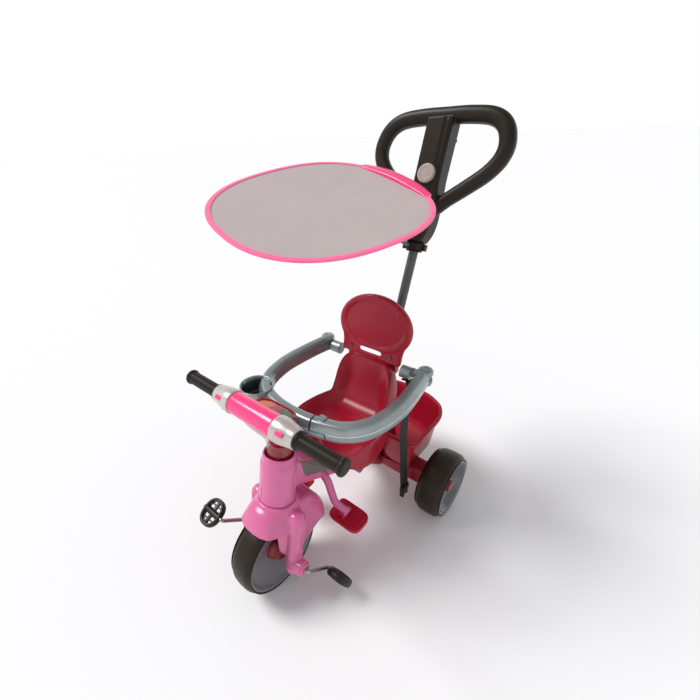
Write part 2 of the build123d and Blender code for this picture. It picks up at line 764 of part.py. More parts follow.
plate_inner = 46.0
plate_outer = 142.0
plate_thickness = 12.0
plate_depth = 70.0
plate_top = plate_pivot_z - barrel_radius - 1
for hand, name in ((1, "l"), (-1, "r")):
    with BuildPart() as foot_plate:
        with BuildSketch(Plane.XY.offset(plate_top - plate_thickness)):
            with Locations((hand * (plate_inner + plate_outer) / 2, axle_y + plate_pivot_y + 5)):
                RectangleRounded(plate_outer - plate_inner, plate_depth, 20)
        extrude(amount=plate_thickness)
        for end in (1, -1):
            ear_plane = Plane(
                origin=(hand * plate_pivot_x, axle_y + plate_pivot_y + end * (barrel_half + slip),
                        plate_pivot_z),
                x_dir=(1, 0, 0), z_dir=(0, -1, 0))
            with BuildSketch(ear_plane):
                Circle(8)
                with Locations((0, -7)):
                    Rectangle(16, 14)
                Circle(trunnion_radius + fit, mode=Mode.SUBTRACT)
            extrude(amount=-end * (trunnion_length - slip))
    save(foot_plate.part, f"footplate_{name}")

# Basket behind the seat, standing on the rear frame, notched round the push tube's socket.
basket_half = 150.0
basket_front = -58.0
basket_back = 184.0
basket_rim = 236.0
basket_floor = beam_top + 0.3
basket_wall = 4.0
notch_half = 42.0
notch_back = 22.0


def basket_outline(grow, height):
    with BuildSketch(Plane.XY.offset(height)) as outline:
        with BuildLine():
            corner_y = axle_y + 96
            front = axle_y + basket_front
            Polyline((-basket_half, corner_y), (-basket_half, front), (-notch_half, front),
                     (-notch_half, axle_y + notch_back), (notch_half, axle_y + notch_back), (notch_half,
                                                                                             front),
                     (basket_half, front), (basket_half, corner_y))
            ThreePointArc((basket_half, corner_y), (0, axle_y + basket_back), (-basket_half, corner_y))
        make_face()
        if grow:
            offset(amount=grow, kind=Kind.INTERSECTION)
    return outline.sketch


basket_taper = 4.0
with BuildPart() as basket:
    add(basket_outline(0, basket_rim))
    extrude(amount=-(basket_rim - basket_floor), taper=basket_taper)
    add(basket_outline(4, basket_rim - 7))
    extrude(amount=7)
    with BuildPart(mode=Mode.PRIVATE) as inside:
        add(basket_outline(-basket_wall, basket_rim))
        extrude(amount=-(basket_rim - basket_floor - basket_wall), taper=basket_taper)
    add(inside.part, mode=Mode.SUBTRACT)
save(basket.part, "basket")

# Push handle: two shells that close round the tube, a grip loop, a lock button and four screws.
handle_neck = 531.4
housing_bottom = 560.0
block_top = 815.0
block_half = 31.0
block_depth = 30.5
foot_half = 36.5
foot_top = 668.0
neck_radius = 17.5
flange_radius = 21.0
flange_top = 535.4
button_up = 712.0
button_radius = 23.0
button_recess = 6.0
recess_floor = 20.5
button_travel = 3.0
slide_down = 80.0
sleeve_bore = tube_radius + 0.06
with BuildPart() as handle:
    with BuildLine(tube_face) as loop:
        FilletPolyline(
            (0, handle_height), (-158, handle_height), (-158, 738), (-22, 628), (22, 628), (158, 738),
            (158, handle_height), radius=[0, 52, 42, 10, 10, 42, 52], close=True,
        )
    loop_wire = loop.wires()[0]
    with BuildSketch(Plane(origin=loop_wire @ 0, z_dir=loop_wire % 0)):
        Circle(grip_radius)
    sweep(path=loop_wire)
    with BuildSketch(tube_face):
        with BuildLine():
            Polyline((-24, housing_bottom), (-foot_half, 596), (-foot_half, foot_top), (-block_half, 690),
                     (-block_half, block_top), (block_half, block_top), (block_half, 690), (foot_half,
                                                                                            foot_top),
                     (foot_half, 596), (24, housing_bottom), close=True)
        make_face()
    extrude(amount=block_depth, both=True)
    with BuildSketch(tube.offset(handle_neck)):
        Circle(flange_radius)
    extrude(amount=flange_top - handle_neck)
    with BuildSketch(tube.offset(handle_neck)):
        Circle(neck_radius)
    extrude(amount=housing_bottom - handle_neck)
    with BuildSketch(tube.offset(handle_neck)):
        Circle(sleeve_bore)
    extrude(amount=tube_top + slide_down + 4 - handle_neck, mode=Mode.SUBTRACT)
    with BuildSketch(tube_face.offset(block_depth)):
        with Locations((0, button_up)):
            Circle(button_radius + slip)
    extrude(amount=recess_floor - block_depth, mode=Mode.SUBTRACT)
    with BuildSketch(tube_face.offset(8)):
        with Locations(*[(x, s) for x in (-23, 23) for s in (606, 800)]):
            Circle(2)
    extrude(amount=-block_depth - 8, mode=Mode.SUBTRACT)
for keep, name in ((Keep.TOP, "handle_front"), (Keep.BOTTOM, "handle_rear")):
    with BuildPart() as shell:
        add(handle.part)
        split(bisect_by=tube_face.offset(0.05 if keep == Keep.TOP else -0.05), keep=keep)
    save(shell.part, name)

with BuildPart() as handle_screws:
    with BuildSketch(tube_face.offset(-block_depth - 0.1)):
        with Locations(*[(x, s) for x in (-23, 23) for s in (606, 800)]):
            Circle(4.5)
    extrude(amount=-2.4)
    with BuildSketch(tube_face.offset(-block_depth - 0.1)):
        with Locations(*[(x, s) for x in (-23, 23) for s in (606, 800)]):
            Circle(1.95)
    extrude(amount=block_depth + 7)
save(handle_screws.part, "handle_screws")

with BuildPart() as handle_button:
    with BuildSketch(tube_face.offset(recess_floor + button_travel + 0.5)):
        with Locations((0, button_up)):
            Circle(button_radius)
    extrude(amount=block_depth + button_travel - recess_floor - button_travel - 0.5)
save(handle_button.part, "handle_button")

# Canopy: a ring turns on the handle's neck and carries an arm, whose hinge tilts the sunshade.
clamp_low = 536.0
clamp_high = 552.0
clamp_outer = 25.0
clamp_ear = 31.0
with BuildPart() as canopy_clamp:
    with BuildSketch(tube.offset(clamp_low)):
        Circle(clamp_outer)
        Rectangle(2 * clamp_ear, 14)
        with Locations((0, -28)):
            Rectangle(20, 16)
        Circle(neck_radius + fit, mode=Mode.SUBTRACT)
    extrude(amount=clamp_high - clamp_low)
save(canopy_clamp.part, "canopy_clamp")

canopy_yaw = radians(13.0)
canopy_pitch = radians(5.5)
canopy_roll = radians(14.5)
canopy_centre = Vector(-5, axle_y + 60, 862)
ahead = Vector(-sin(canopy_yaw), -cos(canopy_yaw), 0) * cos(canopy_pitch) - Vector(0, 0, sin(canopy_pitch))
up_level = Vector(0, 0, cos(canopy_pitch)) + Vector(-sin(canopy_yaw), -cos(canopy_yaw),
                                                    0) * sin(canopy_pitch)
leftward = Vector(cos(canopy_yaw), -sin(canopy_yaw), 0)
across = leftward * cos(canopy_roll) - up_level * sin(canopy_roll)
canopy_up = up_level * cos(canopy_roll) + leftward * sin(canopy_roll)
canopy_plane = Plane(origin=canopy_centre, x_dir=across, z_dir=canopy_up)
canopy_length = 445.0
canopy_half = 199.0
canopy_round = 0.838
canopy_narrowing = 0.03
binding_width = 11.5
binding_thickness = 5.0
hoop_size = 3.4
fabric_thickness = 2.0


def canopy_outline(inset):
    """The sunshade's outline, a rounded square that narrows a little forwards, drawn inside itself by inset."""
    points = []
    for step in range(32):
        turn = 2 * pi * (step + 0.5) / 32
        side_part = abs(cos(turn)) ** canopy_round * (1 if cos(turn) > 0 else -1)
        front_part = abs(sin(turn)) ** canopy_round * (1 if sin(turn) > 0 else -1)
        half = canopy_half * (1 - canopy_narrowing * front_part) - inset
        points.append((half * side_part, -canopy_length / 2 - (canopy_length / 2 - inset) * front_part))
    return points


def canopy_slab(inset, low, high):
    with BuildPart() as slab:
        with BuildSketch(canopy_plane.offset(low)):
            with BuildLine():
                Spline(*canopy_outline(inset), periodic=True)
            make_face()
        extrude(amount=high - low)
    return slab.part


hoop_inset = 3.4
with BuildPart() as canopy_binding:
    add(canopy_slab(0, -binding_thickness / 2, binding_thickness / 2))
    add(canopy_slab(binding_width, -4, 4), mode=Mode.SUBTRACT)
    add(canopy_slab(hoop_inset - 0.3, -hoop_size / 2 - 0.2, hoop_size / 2 + 0.2), mode=Mode.SUBTRACT)
save(canopy_binding.part, "canopy_binding")
with BuildPart() as canopy_hoop:
    add(canopy_slab(hoop_inset, -hoop_size / 2, hoop_size / 2))
    add(canopy_slab(hoop_inset + hoop_size, -3, 3), mode=Mode.SUBTRACT)
save(canopy_hoop.part, "canopy_hoop")
fabric = canopy_slab(hoop_inset + hoop_size + 0.3, -fabric_thickness / 2, fabric_thickness / 2)
save(fabric, "canopy_fabric")

clip_half = 94.0
hinge_drop = 17.0
hinge_pin = 3.0
barrel_length = 16.0
hinge_y = -3.0
hinge_centre = canopy_plane.from_local_coords((0, hinge_y, -hinge_drop))
hinge_plane = Plane(origin=hinge_centre, x_dir=canopy_up, z_dir=across)
with BuildPart() as canopy_clip:
    add(canopy_slab(-6, -9, 9))
    with BuildSketch(canopy_plane.offset(-20)):
        with BuildLine():
            ThreePointArc((-clip_half, -26), (0, -12), (clip_half, -26))
            Polyline((clip_half, -26), (clip_half, 40), (-clip_half, 40), (-clip_half, -26))
        make_face()
    extrude(amount=40, mode=Mode.INTERSECT)
    add(canopy_slab(-slip, -binding_thickness / 2 - slip, binding_thickness / 2 + slip), mode=Mode.SUBTRACT)
    for hand in (1, -1):
        with BuildSketch(hinge_plane.offset(hand * (barrel_length / 2 + slip))):
            Circle(7)
            with Locations((5, 0)):
                Rectangle(10, 14)
            Circle(hinge_pin + fit, mode=Mode.SUBTRACT)
        extrude(amount=hand * 6)
save(canopy_clip.part, "canopy_clip")

with BuildPart() as canopy_arm:
    arm_foot = tube.from_local_coords((0, -37, (clamp_low + clamp_high) / 2))
    arm_bend = Vector(-4, axle_y + 78, 722)
    with BuildLine() as arm_path:
        FilletPolyline(arm_foot, arm_bend, hinge_centre - canopy_up * 2, radius=14)
    with BuildSketch(Plane(origin=arm_foot, z_dir=arm_bend - arm_foot)):
        Circle(5)
    sweep(path=arm_path.wires()[0])
    with BuildSketch(hinge_plane):
        Circle(6.5)
    extrude(amount=barrel_length / 2, both=True)
    with BuildSketch(hinge_plane):
        Circle(hinge_pin)
    extrude(amount=barrel_length / 2 + 6, both=True)
save(canopy_arm.part, "canopy_arm")

# Belt: one end of the child's lap strap, hung over the side of the seat, with its buckle.
strap_width = 25.0
strap_thickness = 3.0
strap_x = 138.0
strap_top_y = -100.0
strap_top_z = 376.0
strap_foot_y = -64.0
strap_foot_z = 84.0
drum_radius = 16.0
drum_y = pin_y - 10
with BuildPart() as strap:
    foot = Vector(strap_x, axle_y + strap_foot_y, strap_foot_z - 10.2)
    turn_over = Vector(strap_x, axle_y + strap_top_y, strap_top_z)
    anchor = Vector(seat_back_half + 4, axle_y + drum_y, pivot_z - drum_radius - slip - strap_thickness / 2)
    with BuildLine() as strap_path:
        FilletPolyline(anchor, anchor + Vector(16, 0, 0), turn_over, foot, radius=[10, 14])
    with BuildSketch(Plane(origin=anchor, x_dir=(0, 1, 0), z_dir=(1, 0, 0))):
        Rectangle(strap_width, strap_thickness)
    sweep(path=strap_path.wires()[0])
save(strap.part, "strap")

with BuildPart() as strap_buckle:
    with BuildSketch(Plane(origin=(strap_x, axle_y + strap_foot_y + 2, strap_foot_z - 22),
                           z_dir=(1, 0, 0))):
        RectangleRounded(38, 44, 6)
    extrude(amount=7, both=True)
    with BuildSketch(Plane(origin=(strap_x, axle_y + strap_foot_y, strap_foot_z), z_dir=(0, 0, 1))):
        Rectangle(strap_width + 3, strap_width + 3)
    extrude(amount=-12, mode=Mode.SUBTRACT)
save(strap_buckle.part, "strap_buckle")
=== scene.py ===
from math import cos, pi, radians, sin
import bmesh
import bpy
import numpy as np
from mathutils import Matrix, Vector


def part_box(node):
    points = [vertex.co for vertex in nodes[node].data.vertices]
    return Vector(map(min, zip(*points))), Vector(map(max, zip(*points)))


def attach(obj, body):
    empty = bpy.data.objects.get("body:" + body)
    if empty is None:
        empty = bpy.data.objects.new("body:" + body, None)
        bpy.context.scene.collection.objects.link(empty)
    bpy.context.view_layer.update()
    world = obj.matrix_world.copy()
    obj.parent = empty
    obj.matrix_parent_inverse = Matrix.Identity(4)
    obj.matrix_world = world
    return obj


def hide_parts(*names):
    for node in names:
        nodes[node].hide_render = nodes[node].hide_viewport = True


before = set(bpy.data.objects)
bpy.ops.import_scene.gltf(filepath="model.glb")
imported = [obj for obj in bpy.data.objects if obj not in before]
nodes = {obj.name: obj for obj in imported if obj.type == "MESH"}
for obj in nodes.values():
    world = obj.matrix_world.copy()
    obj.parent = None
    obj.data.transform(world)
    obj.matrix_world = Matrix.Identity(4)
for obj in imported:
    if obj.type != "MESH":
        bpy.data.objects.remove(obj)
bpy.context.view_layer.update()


# ---- The camera, at a standing adult's eye height in front of the tricycle, on its rider's left.
def middle(node):
    low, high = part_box(node)
    return (np.array(low) + np.array(high)) / 2


axle_y = float(middle("rear_axle")[1])
camera_data = bpy.data.cameras.new("camera")
camera = bpy.data.objects.new("camera", camera_data)
bpy.context.scene.collection.objects.link(camera)
bpy.context.scene.camera = camera
turn, dip, lean = radians(43.6), radians(-31.3), radians(-3.7)
forward = np.array([-sin(turn) * cos(dip), cos(turn) * cos(dip), sin(dip)])
level = np.array([cos(turn), sin(turn), 0.0])
upward = np.cross(level, forward)
right = level * cos(lean) + upward * sin(lean)
above = -level * sin(lean) + upward * cos(lean)
place = Matrix(np.column_stack([right, above, -forward]).tolist()).to_4x4()
place.translation = Vector((0.4743, -0.7655 + axle_y, 0.9697))
camera.matrix_world = place
camera_data.sensor_width = 36.0
camera_data.lens = 19.63
camera_data.shift_x = 0.0543
camera_data.shift_y = 0.0141
camera_data.clip_start = 0.05
camera_data.clip_end = 60.0

# ---- The room: a plain pale floor under a soft dome that is white at the horizon and dimmer overhead,
# with one broad sun from the rider's right, so that shadows fall softly to the other side.
world = bpy.data.worlds.new("surround")
bpy.context.scene.world = world
world.use_nodes = True
sky_nodes, sky_links = world.node_tree.nodes, world.node_tree.links
sky_way = sky_nodes.new("ShaderNodeTexCoord")
sky_height = sky_nodes.new("ShaderNodeSeparateXYZ")
sky_ramp = sky_nodes.new("ShaderNodeValToRGB")
sky_links.new(sky_way.outputs["Generated"], sky_height.inputs[0])
sky_links.new(sky_height.outputs["Z"], sky_ramp.inputs[0])
sky_links.new(sky_ramp.outputs[0], sky_nodes["Background"].inputs[0])
horizon, overhead = sky_ramp.color_ramp.elements
horizon.position, horizon.color = 0.28, (1.0, 1.0, 1.0, 1.0)
overhead.position, overhead.color = 0.62, (0.42, 0.42, 0.44, 1.0)
sky_nodes["Background"].inputs[1].default_value = 1.0
bpy.context.scene.view_settings.view_transform = "Standard"
sun_data = bpy.data.lights.new("sun", "SUN")
sun_data.energy = 2.2
sun_data.angle = radians(24)
sun = bpy.data.objects.new("sun", sun_data)
bpy.context.scene.collection.objects.link(sun)
sun.rotation_euler = Vector((0.75, 0.42, -1.15)).to_track_quat("-Z", "Y").to_euler()


# Shader sums are written as Python on this class, which holds one socket of a material's tree.
class Wire:
    """A socket. Sums, differences and products on it add Math nodes; node() adds any other node."""

    def __init__(self, tree, socket=None):
        self.tree = tree
        self.socket = socket

    def node(self, kind, settings=(), out=0, **sockets):
        made = self.tree.nodes.new("ShaderNode" + kind)
        for key, value in dict(settings).items():
            if key == "stops":
                ramp = made.color_ramp
                while len(ramp.elements) < len(value):
                    ramp.elements.new(1.0)
                for element, (at, colour) in zip(ramp.elements, value):
                    element.position = at
                    element.color = (*colour, 1.0)
            else:
                setattr(made, key, value)
        for key, value in sockets.items():
            numbered = key[0] == "i" and key[1:].isdigit()
            socket = made.inputs[int(key[1:]) if numbered else key.replace("_", " ")]
            if isinstance(value, Wire):
                self.tree.links.new(value.socket, socket)
            else:
                socket.default_value = value
        return Wire(self.tree, made.outputs[out])

    def _sum(self, operation, first, second):
        return self.node("Math", {"operation": operation}, i0=first, i1=second)

    def __add__(self, other):
        return self._sum("ADD", self, other)

    def __radd__(self, other):
        return self._sum("ADD", other, self)

    def __sub__(self, other):
        return self._sum("SUBTRACT", self, other)

    def __rsub__(self, other):
        return self._sum("SUBTRACT", other, self)

    def __mul__(self, other):
        return self._sum("MULTIPLY", self, other)

    def __rmul__(self, other):
        return self._sum("MULTIPLY", other, self)

    def clamped(self):
        return self.node("Clamp", i0=self)

    def mixed(self, first, second):
        """A colour that goes from first to second as this value goes from 0 to 1."""
        return self.node("Mix", {"data_type": "RGBA"}, out=2, i0=self, i6=first, i7=second)


def shade(r, g, b):
    """A colour given as a screen shows it, 0 to 255, as the amounts of light that a shader needs."""
    part = np.array([r, g, b]) / 255.0
    light = np.where(part <= 0.04045, part / 12.92, ((part + 0.055) / 1.055) ** 2.4)
    return (*light.tolist(), 1.0)


def darker(colour, share):
    return (colour[0] * share, colour[1] * share, colour[2] * share, 1.0)


def new_finish(name):
    """A new material, a Wire that adds nodes to its tree, and its main shader."""
    material = bpy.data.materials.new(name)
    material.use_nodes = True
    return material, Wire(material.node_tree), material.node_tree.nodes["Principled BSDF"]


def feed(material, shader, **links):
    for key, wire in links.items():
        material.node_tree.links.new(wire.socket, shader.inputs[key.replace("_", " ")])


def moulded(name, colour, rough=0.3, grain=0.06, coat=0.0, mottle=0.06, scuff=0.25, texture=2600.0,
             shine=0.4):
    """Injection-moulded plastic: a faint orange peel, slow changes of tone, fine handling scratches."""
    material, start, shader = new_finish(name)
    where = start.node("TexCoord", out=3)
    slow = start.node("TexNoise", Vector=where, Scale=9.0, Detail=3.0, Roughness=0.55)
    fine = start.node("TexNoise", Vector=where, Scale=texture, Detail=2.0)
    peel = start.node("TexNoise", Vector=where, Scale=150.0, Detail=2.0)
    stretched = start.node("Mapping", Vector=where, Rotation=(0.4, 0.9, 0.3), Scale=(14.0, 260.0, 190.0))
    scratch = start.node("TexNoise", Vector=stretched, Scale=1.0, Detail=4.0, Roughness=0.7)
    rubbed = ((scratch - 0.62) * 9.0).clamped() * ((slow - 0.45) * 4.0).clamped()
    tone = (slow * 0.7 + fine * 0.3)
    base = ((tone - 0.3) * 2.4).clamped().mixed(darker(colour, 1.0 - mottle * 1.6),
                                                darker(colour, 1.0 + mottle))
    worn = (rubbed * scuff * 0.35).mixed(base, tuple(min(1.0, c * 1.5 + 0.02) for c in colour[:3]) + (1.0,))
    height = peel * 0.5 + fine * grain * 4.0 - rubbed * 0.2
    bump = start.node("Bump", Strength=grain, Distance=0.0006, Height=height)
    feed(material, shader, Base_Color=worn, Normal=bump,
         Roughness=(rough + (slow - 0.5) * 0.12 + rubbed * 0.18).clamped())
    shader.inputs["Coat Weight"].default_value = coat
    shader.inputs["Coat Roughness"].default_value = 0.12
    shader.inputs["Specular IOR Level"].default_value = shine
    return material


# ---- Rear wheels: blow-moulded tyres pressed over dished grey rims, on a fixed steel axle.
# Each runs on the axle's end behind a push nut, which a crimson cap hides.
def piece(name, patches, material, body, replaced=(), smooth=True, merge=1e-6):
    """A mesh from grids of points. Each patch is (points, wrap rows, wrap columns, cap ends). Quads join
    each point to its neighbours in the next row and column, and a cap closes a first or last row."""
    verts, faces, base = [], [], 0
    for points, wrap_rows, wrap_columns, capped in patches:
        points = np.asarray(points, float)
        rows, columns = points.shape[:2]
        index = np.arange(rows * columns).reshape(rows, columns) + base
        base += rows * columns
        if capped:
            faces += [index[0][::-1].tolist(), index[-1].tolist()]
        if wrap_rows:
            index = np.vstack([index, index[:1]])
        if wrap_columns:
            index = np.hstack([index, index[:, :1]])
        quads = np.stack([index[:-1, :-1], index[:-1, 1:], index[1:, 1:], index[1:, :-1]], -1)
        faces += quads.reshape(-1, 4).tolist()
        verts.append(points.reshape(-1, 3))
    mesh = bpy.data.meshes.new(name)
    mesh.from_pydata(np.vstack(verts), [], faces)
    made = bpy.data.objects.new(name, mesh)
    bpy.context.scene.collection.objects.link(made)
    tidied = bmesh.new()
    tidied.from_mesh(mesh)
    bmesh.ops.remove_doubles(tidied, verts=tidied.verts, dist=merge)
    bmesh.ops.dissolve_degenerate(tidied, edges=tidied.edges, dist=merge)
    bmesh.ops.recalc_face_normals(tidied, faces=tidied.faces)
    tidied.to_mesh(mesh)
    tidied.free()
    mesh.polygons.foreach_set("use_smooth", np.full(len(mesh.polygons), smooth))
    mesh.materials.append(material)
    if smooth:
        mesh.set_sharp_from_angle(angle=radians(38))
    if replaced:
        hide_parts(*replaced)
    if body:
        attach(made, body)
    return made


def rounded(points, radius, steps=6, closed=True):
    """A line of points with its corners eased: each corner becomes a short parabola that starts and ends
    up to one radius from it, or just under half way along a short side."""
    points = np.asarray(points, float)
    before, after = np.roll(points, 1, 0) - points, np.roll(points, -1, 0) - points
    size = np.broadcast_to(np.asarray(radius, float), (len(points),))[:, None]
    length_before = np.linalg.norm(before, axis=1, keepdims=True) + 1e-12
    length_after = np.linalg.norm(after, axis=1, keepdims=True) + 1e-12
    start = points + before / length_before * np.minimum(size, 0.47 * length_before)
    end = points + after / length_after * np.minimum(size, 0.47 * length_after)
    t = np.linspace(0, 1, steps)[None, :, None]
    curve = (1 - t) ** 2 * start[:, None] + 2 * t * (1 - t) * points[:, None] + t ** 2 * end[:, None]
    if closed:
        return curve.reshape(-1, points.shape[1])
    return np.vstack([points[:1], curve[1:-1].reshape(-1, points.shape[1]), points[-1:]])


def turned(profile, centre, axis, segments=96):
    """A surface of revolution: each (along, radius) point of the profile goes round the axis."""
    axis = np.asarray(axis, float) / np.linalg.norm(axis)
    side = np.cross(axis, [0, 0, 1.0] if abs(axis[2]) < 0.9 else [0, 1.0, 0])
    side /= np.linalg.norm(side)
    other = np.cross(axis, side)
    angle = np.linspace(0, 2 * pi, segments, endpoint=False)
    ring = np.cos(angle)[:, None] * side + np.sin(angle)[:, None] * other
    profile = np.asarray(profile, float)
    return np.asarray(centre) + profile[:, 0, None, None] * axis + profile[:, 1, None, None] * ring[None]


MM = 0.001
tyre_colour = shade(40, 31, 22)


def tyre_rubber(name):
    """Matt, slightly dusty plastic tyre with a fine moulded grain."""
    material, start, shader = new_finish(name)
    where = start.node("TexCoord", out=3)
    slow = start.node("TexNoise", Vector=where, Scale=14.0, Detail=4.0, Roughness=0.6)
    fine = start.node("TexNoise", Vector=where, Scale=1500.0, Detail=3.0)
    marks = start.node("TexNoise", Vector=start.node("Mapping", Vector=where, Scale=(220.0, 30.0, 30.0)),
                       Scale=1.0, Detail=5.0)
    dust = ((slow - 0.5) * 3.0).clamped() * 0.35 + ((marks - 0.6) * 5.0).clamped() * 0.25
    base = dust.mixed(tyre_colour, shade(74, 64, 54))
    bump = start.node("Bump", Strength=0.25, Distance=0.0005, Height=fine * 0.6 + marks * 0.5)
    feed(material, shader, Base_Color=base, Roughness=(0.4 + dust * 0.3).clamped(), Normal=bump)
    shader.inputs["Specular IOR Level"].default_value = 0.22
    return material


tyre_finish = tyre_rubber("tyre plastic")
rim_finish = moulded("grey rim plastic", shade(112, 113, 117), rough=0.14, grain=0.04, coat=0.5)
crimson = shade(158, 20, 44)
crimson_finish = moulded("crimson plastic", crimson, rough=0.3, grain=0.06, coat=0.05, shine=0.35)
hub_finish = moulded("hub plastic", shade(140, 26, 36), rough=0.3, grain=0.05, coat=0.2)


def tyre_profile(half, outer, inner, crown):
    """Half of the tread is nearly flat with a slight crown; broad shoulders run down to the rim's lip."""
    side = [(half, inner), (half, inner + 5), (half - 1.5, outer - 13), (half - 11, outer - crown - 1.2)]
    line = [(-along, radius) for along, radius in side] + [(0, outer)] + side[::-1]
    return rounded(line, [1.5, 5, 9, 9, 22, 9, 9, 5, 1.5], 8)


def spun(profile, x, y, z, hand=1, segments=128):
    return turned(np.asarray(profile) * MM * [hand, 1], (x, y, z), (1, 0, 0), segments)


for hand, letter, body in ((1, "l", "rear_wheel_left"), (-1, "r", "rear_wheel_right")):
    centre = middle(f"rear_tyre_{letter}")
    tyre = spun(tyre_profile(36, 95, 80.7, 1.0), *centre)
    piece(f"rear_tyre_{letter}", [(tyre, True, True, False)], tyre_finish, body, [f"rear_tyre_{letter}"])
    rim_line = [(-34, 80.4), (35.2, 80.4), (35.6, 79), (34.5, 75.5), (31, 73.6), (25, 71), (12, 64), (5, 50),
                (3, 36), (4, 30), (10, 26), (22, 22), (22, 5.2), (-26, 5.2), (-26, 16), (-6, 20), (-6, 32),
                (-2, 70), (-34, 76)]
    rim_ease = [1, 1, 1.5, 2, 3, 5, 8, 10, 4, 4, 4, 2, 0.3, 0.3, 2, 3, 6, 6, 1]
    rim = spun(rounded(rim_line, rim_ease), *centre, hand)
    piece(f"rear_rim_{letter}_dish", [(rim, True, True, False)], rim_finish, body, [f"rear_rim_{letter}"])
    cap_line = [(22.2, 12.2), (22.2, 17), (27, 16.6), (29.4, 14.4), (30.4, 9), (30.2, 5), (30.0, 0),
                (28.5, 0), (28.5, 12.2)]
    cap = spun(rounded(cap_line, [0.3, 0.6, 2.5, 1.5, 2, 2, 0.1, 0.1, 1], closed=False), *centre, hand, 64)
    piece(f"rear_hub_cap_{letter}", [(cap, True, True, False)], hub_finish, body, [f"rear_cap_{letter}"])


def bright_steel(name, colour=shade(176, 174, 170), rough=0.28):
    """Zinc-plated steel: a faint cloudy passivation and fine drawing lines."""
    material, start, shader = new_finish(name)
    where = start.node("TexCoord", out=3)
    cloud = start.node("TexNoise", Vector=where, Scale=60.0, Detail=4.0)
    lines = start.node("TexNoise", Vector=start.node("Mapping", Vector=where, Scale=(40.0, 900.0, 900.0)),
                       Scale=1.0, Detail=3.0)
    bump = start.node("Bump", Strength=0.12, Distance=0.0002, Height=lines)
    feed(material, shader, Base_Color=cloud.mixed(darker(colour, 0.82), colour),
         Roughness=(rough + (cloud - 0.5) * 0.2 + (lines - 0.5) * 0.1).clamped(), Normal=bump)
    shader.inputs["Metallic"].default_value = 1.0
    return material


def refinish(material, *names):
    for node in names:
        mesh = nodes[node].data
        mesh.materials.clear()
        mesh.materials.append(material)


steel_finish = bright_steel("zinc plate")
refinish(steel_finish, "rear_axle", "axle_nuts", "crank", "steering_post", "bar_tube", "guard_pins",
         "canopy_hoop")


# ---- Frame: the pink beam and the purple bracket are ribbed mouldings, screwed to the crimson rear frame.
# The rear frame carries the axle through its cross beam and the push tube in its socket.
def slab(outline, lift, half, radius, across=(1, 0, 0), first=(0, 1, 0), second=(0, 0, 1), steps=5):
    """A plate with eased edges: its outline, drawn on the first and second directions, is carried across from
    -half to half, and drawn in by r(1 - cos a) at each edge as it goes round the last r(sin a)."""
    outline = np.asarray(outline, float)
    ahead, behind = np.roll(outline, -1, 0), np.roll(outline, 1, 0)
    run = ahead - behind
    run /= np.linalg.norm(run, axis=1, keepdims=True) + 1e-12
    inward = np.stack([-run[:, 1], run[:, 0]], 1)
    area = np.sum(outline[:, 0] * ahead[:, 1] - ahead[:, 0] * outline[:, 1])
    inward *= np.sign(area)
    angle = np.linspace(0, pi / 2, steps)
    height = np.concatenate([-half + radius * (1 - np.sin(angle[::-1])), half - radius * (1 - np.sin(angle))])
    inset = np.concatenate([radius * (1 - np.cos(angle[::-1])), radius * (1 - np.cos(angle))])
    flat = outline[None] + inward[None] * inset[:, None, None]
    across, first, second = (np.asarray(v, float) for v in (across, first, second))
    points = flat[:, :, :1] * first + flat[:, :, 1:] * second + (lift + height)[:, None, None] * across
    return points


def seen_from_side(points):
    """Side-view sizes in millimetres from the rear axle's vertical, as metres in the frame."""
    return np.asarray(points, float) * MM + [axle_y, 0]


pink = shade(214, 104, 154)
pink_finish = moulded("pink plastic", pink, rough=0.24, grain=0.05, coat=0.35)
purple_finish = moulded("purple plastic", shade(160, 78, 132), rough=0.3, grain=0.06, coat=0.15)
brown_finish = moulded("brown panel", shade(104, 98, 90), rough=0.35, grain=0.1, coat=0.2)

beam_line = [(-404, 298), (-380, 291), (-230, 203), (-101, 131), (-101, 211), (-240, 261), (-292, 299),
             (-352, 349), (-386, 360)]
beam_shape = rounded(seen_from_side(beam_line), 12 * MM, 8)
piece("beam_moulding", [(slab(beam_shape, 0, 36 * MM, 5 * MM), False, True, True)], pink_finish, "frame",
      ["main_beam"])
panel = rounded(seen_from_side([(-362, 352), (-352, 298), (-300, 267), (-250, 243), (-288, 296)]), 3 * MM)
for hand, letter, replaced in ((1, "l", ["beam_panels"]), (-1, "r", [])):
    inset = slab(panel, hand * 35.7 * MM, 1.9 * MM, 1.0 * MM)
    piece(f"beam_inset_{letter}", [(inset, False, True, True)], brown_finish, "frame", replaced)

bracket_line = [(-214, 305), (-214, 226), (-168, 161), (-102, 177), (-102, 305)]
bracket = slab(rounded(seen_from_side(bracket_line), 6 * MM), 0, 58 * MM, 4 * MM)
piece("seat_bracket_moulding", [(bracket, False, True, True)], purple_finish, "frame", ["seat_bracket"])

spine_line = [(-99.5, 129), (-30, 68), (26, 68), (27, 122), (6, 126), (4, 213), (-99.5, 211)]
cross_line = [(-27, 66.5), (27, 66.5), (27, 123.5), (-27, 123.5)]
tube_lean = radians(19.8)
along_tube = np.array([0, sin(tube_lean), cos(tube_lean)])
tube_front = np.array([0, -cos(tube_lean), sin(tube_lean)])
tube_foot = np.array([0, axle_y - 0.0396, 0.180])
socket = turned(np.array([(-30, 12.1), (-30, 19), (70, 19), (75, 17.5), (75, 12.1)]) * MM, tube_foot,
                along_tube, 48)
spine = slab(rounded(seen_from_side(spine_line), 8 * MM), 0, 38 * MM, 4 * MM)
cross_beam = slab(rounded(seen_from_side(cross_line), 12 * MM), 0, 174.5 * MM, 4 * MM)
piece("rear_frame_moulding", [(spine, False, True, True), (cross_beam, False, True, True),
                              (socket, True, True, False)],
      crimson_finish, "frame", ["rear_frame"])


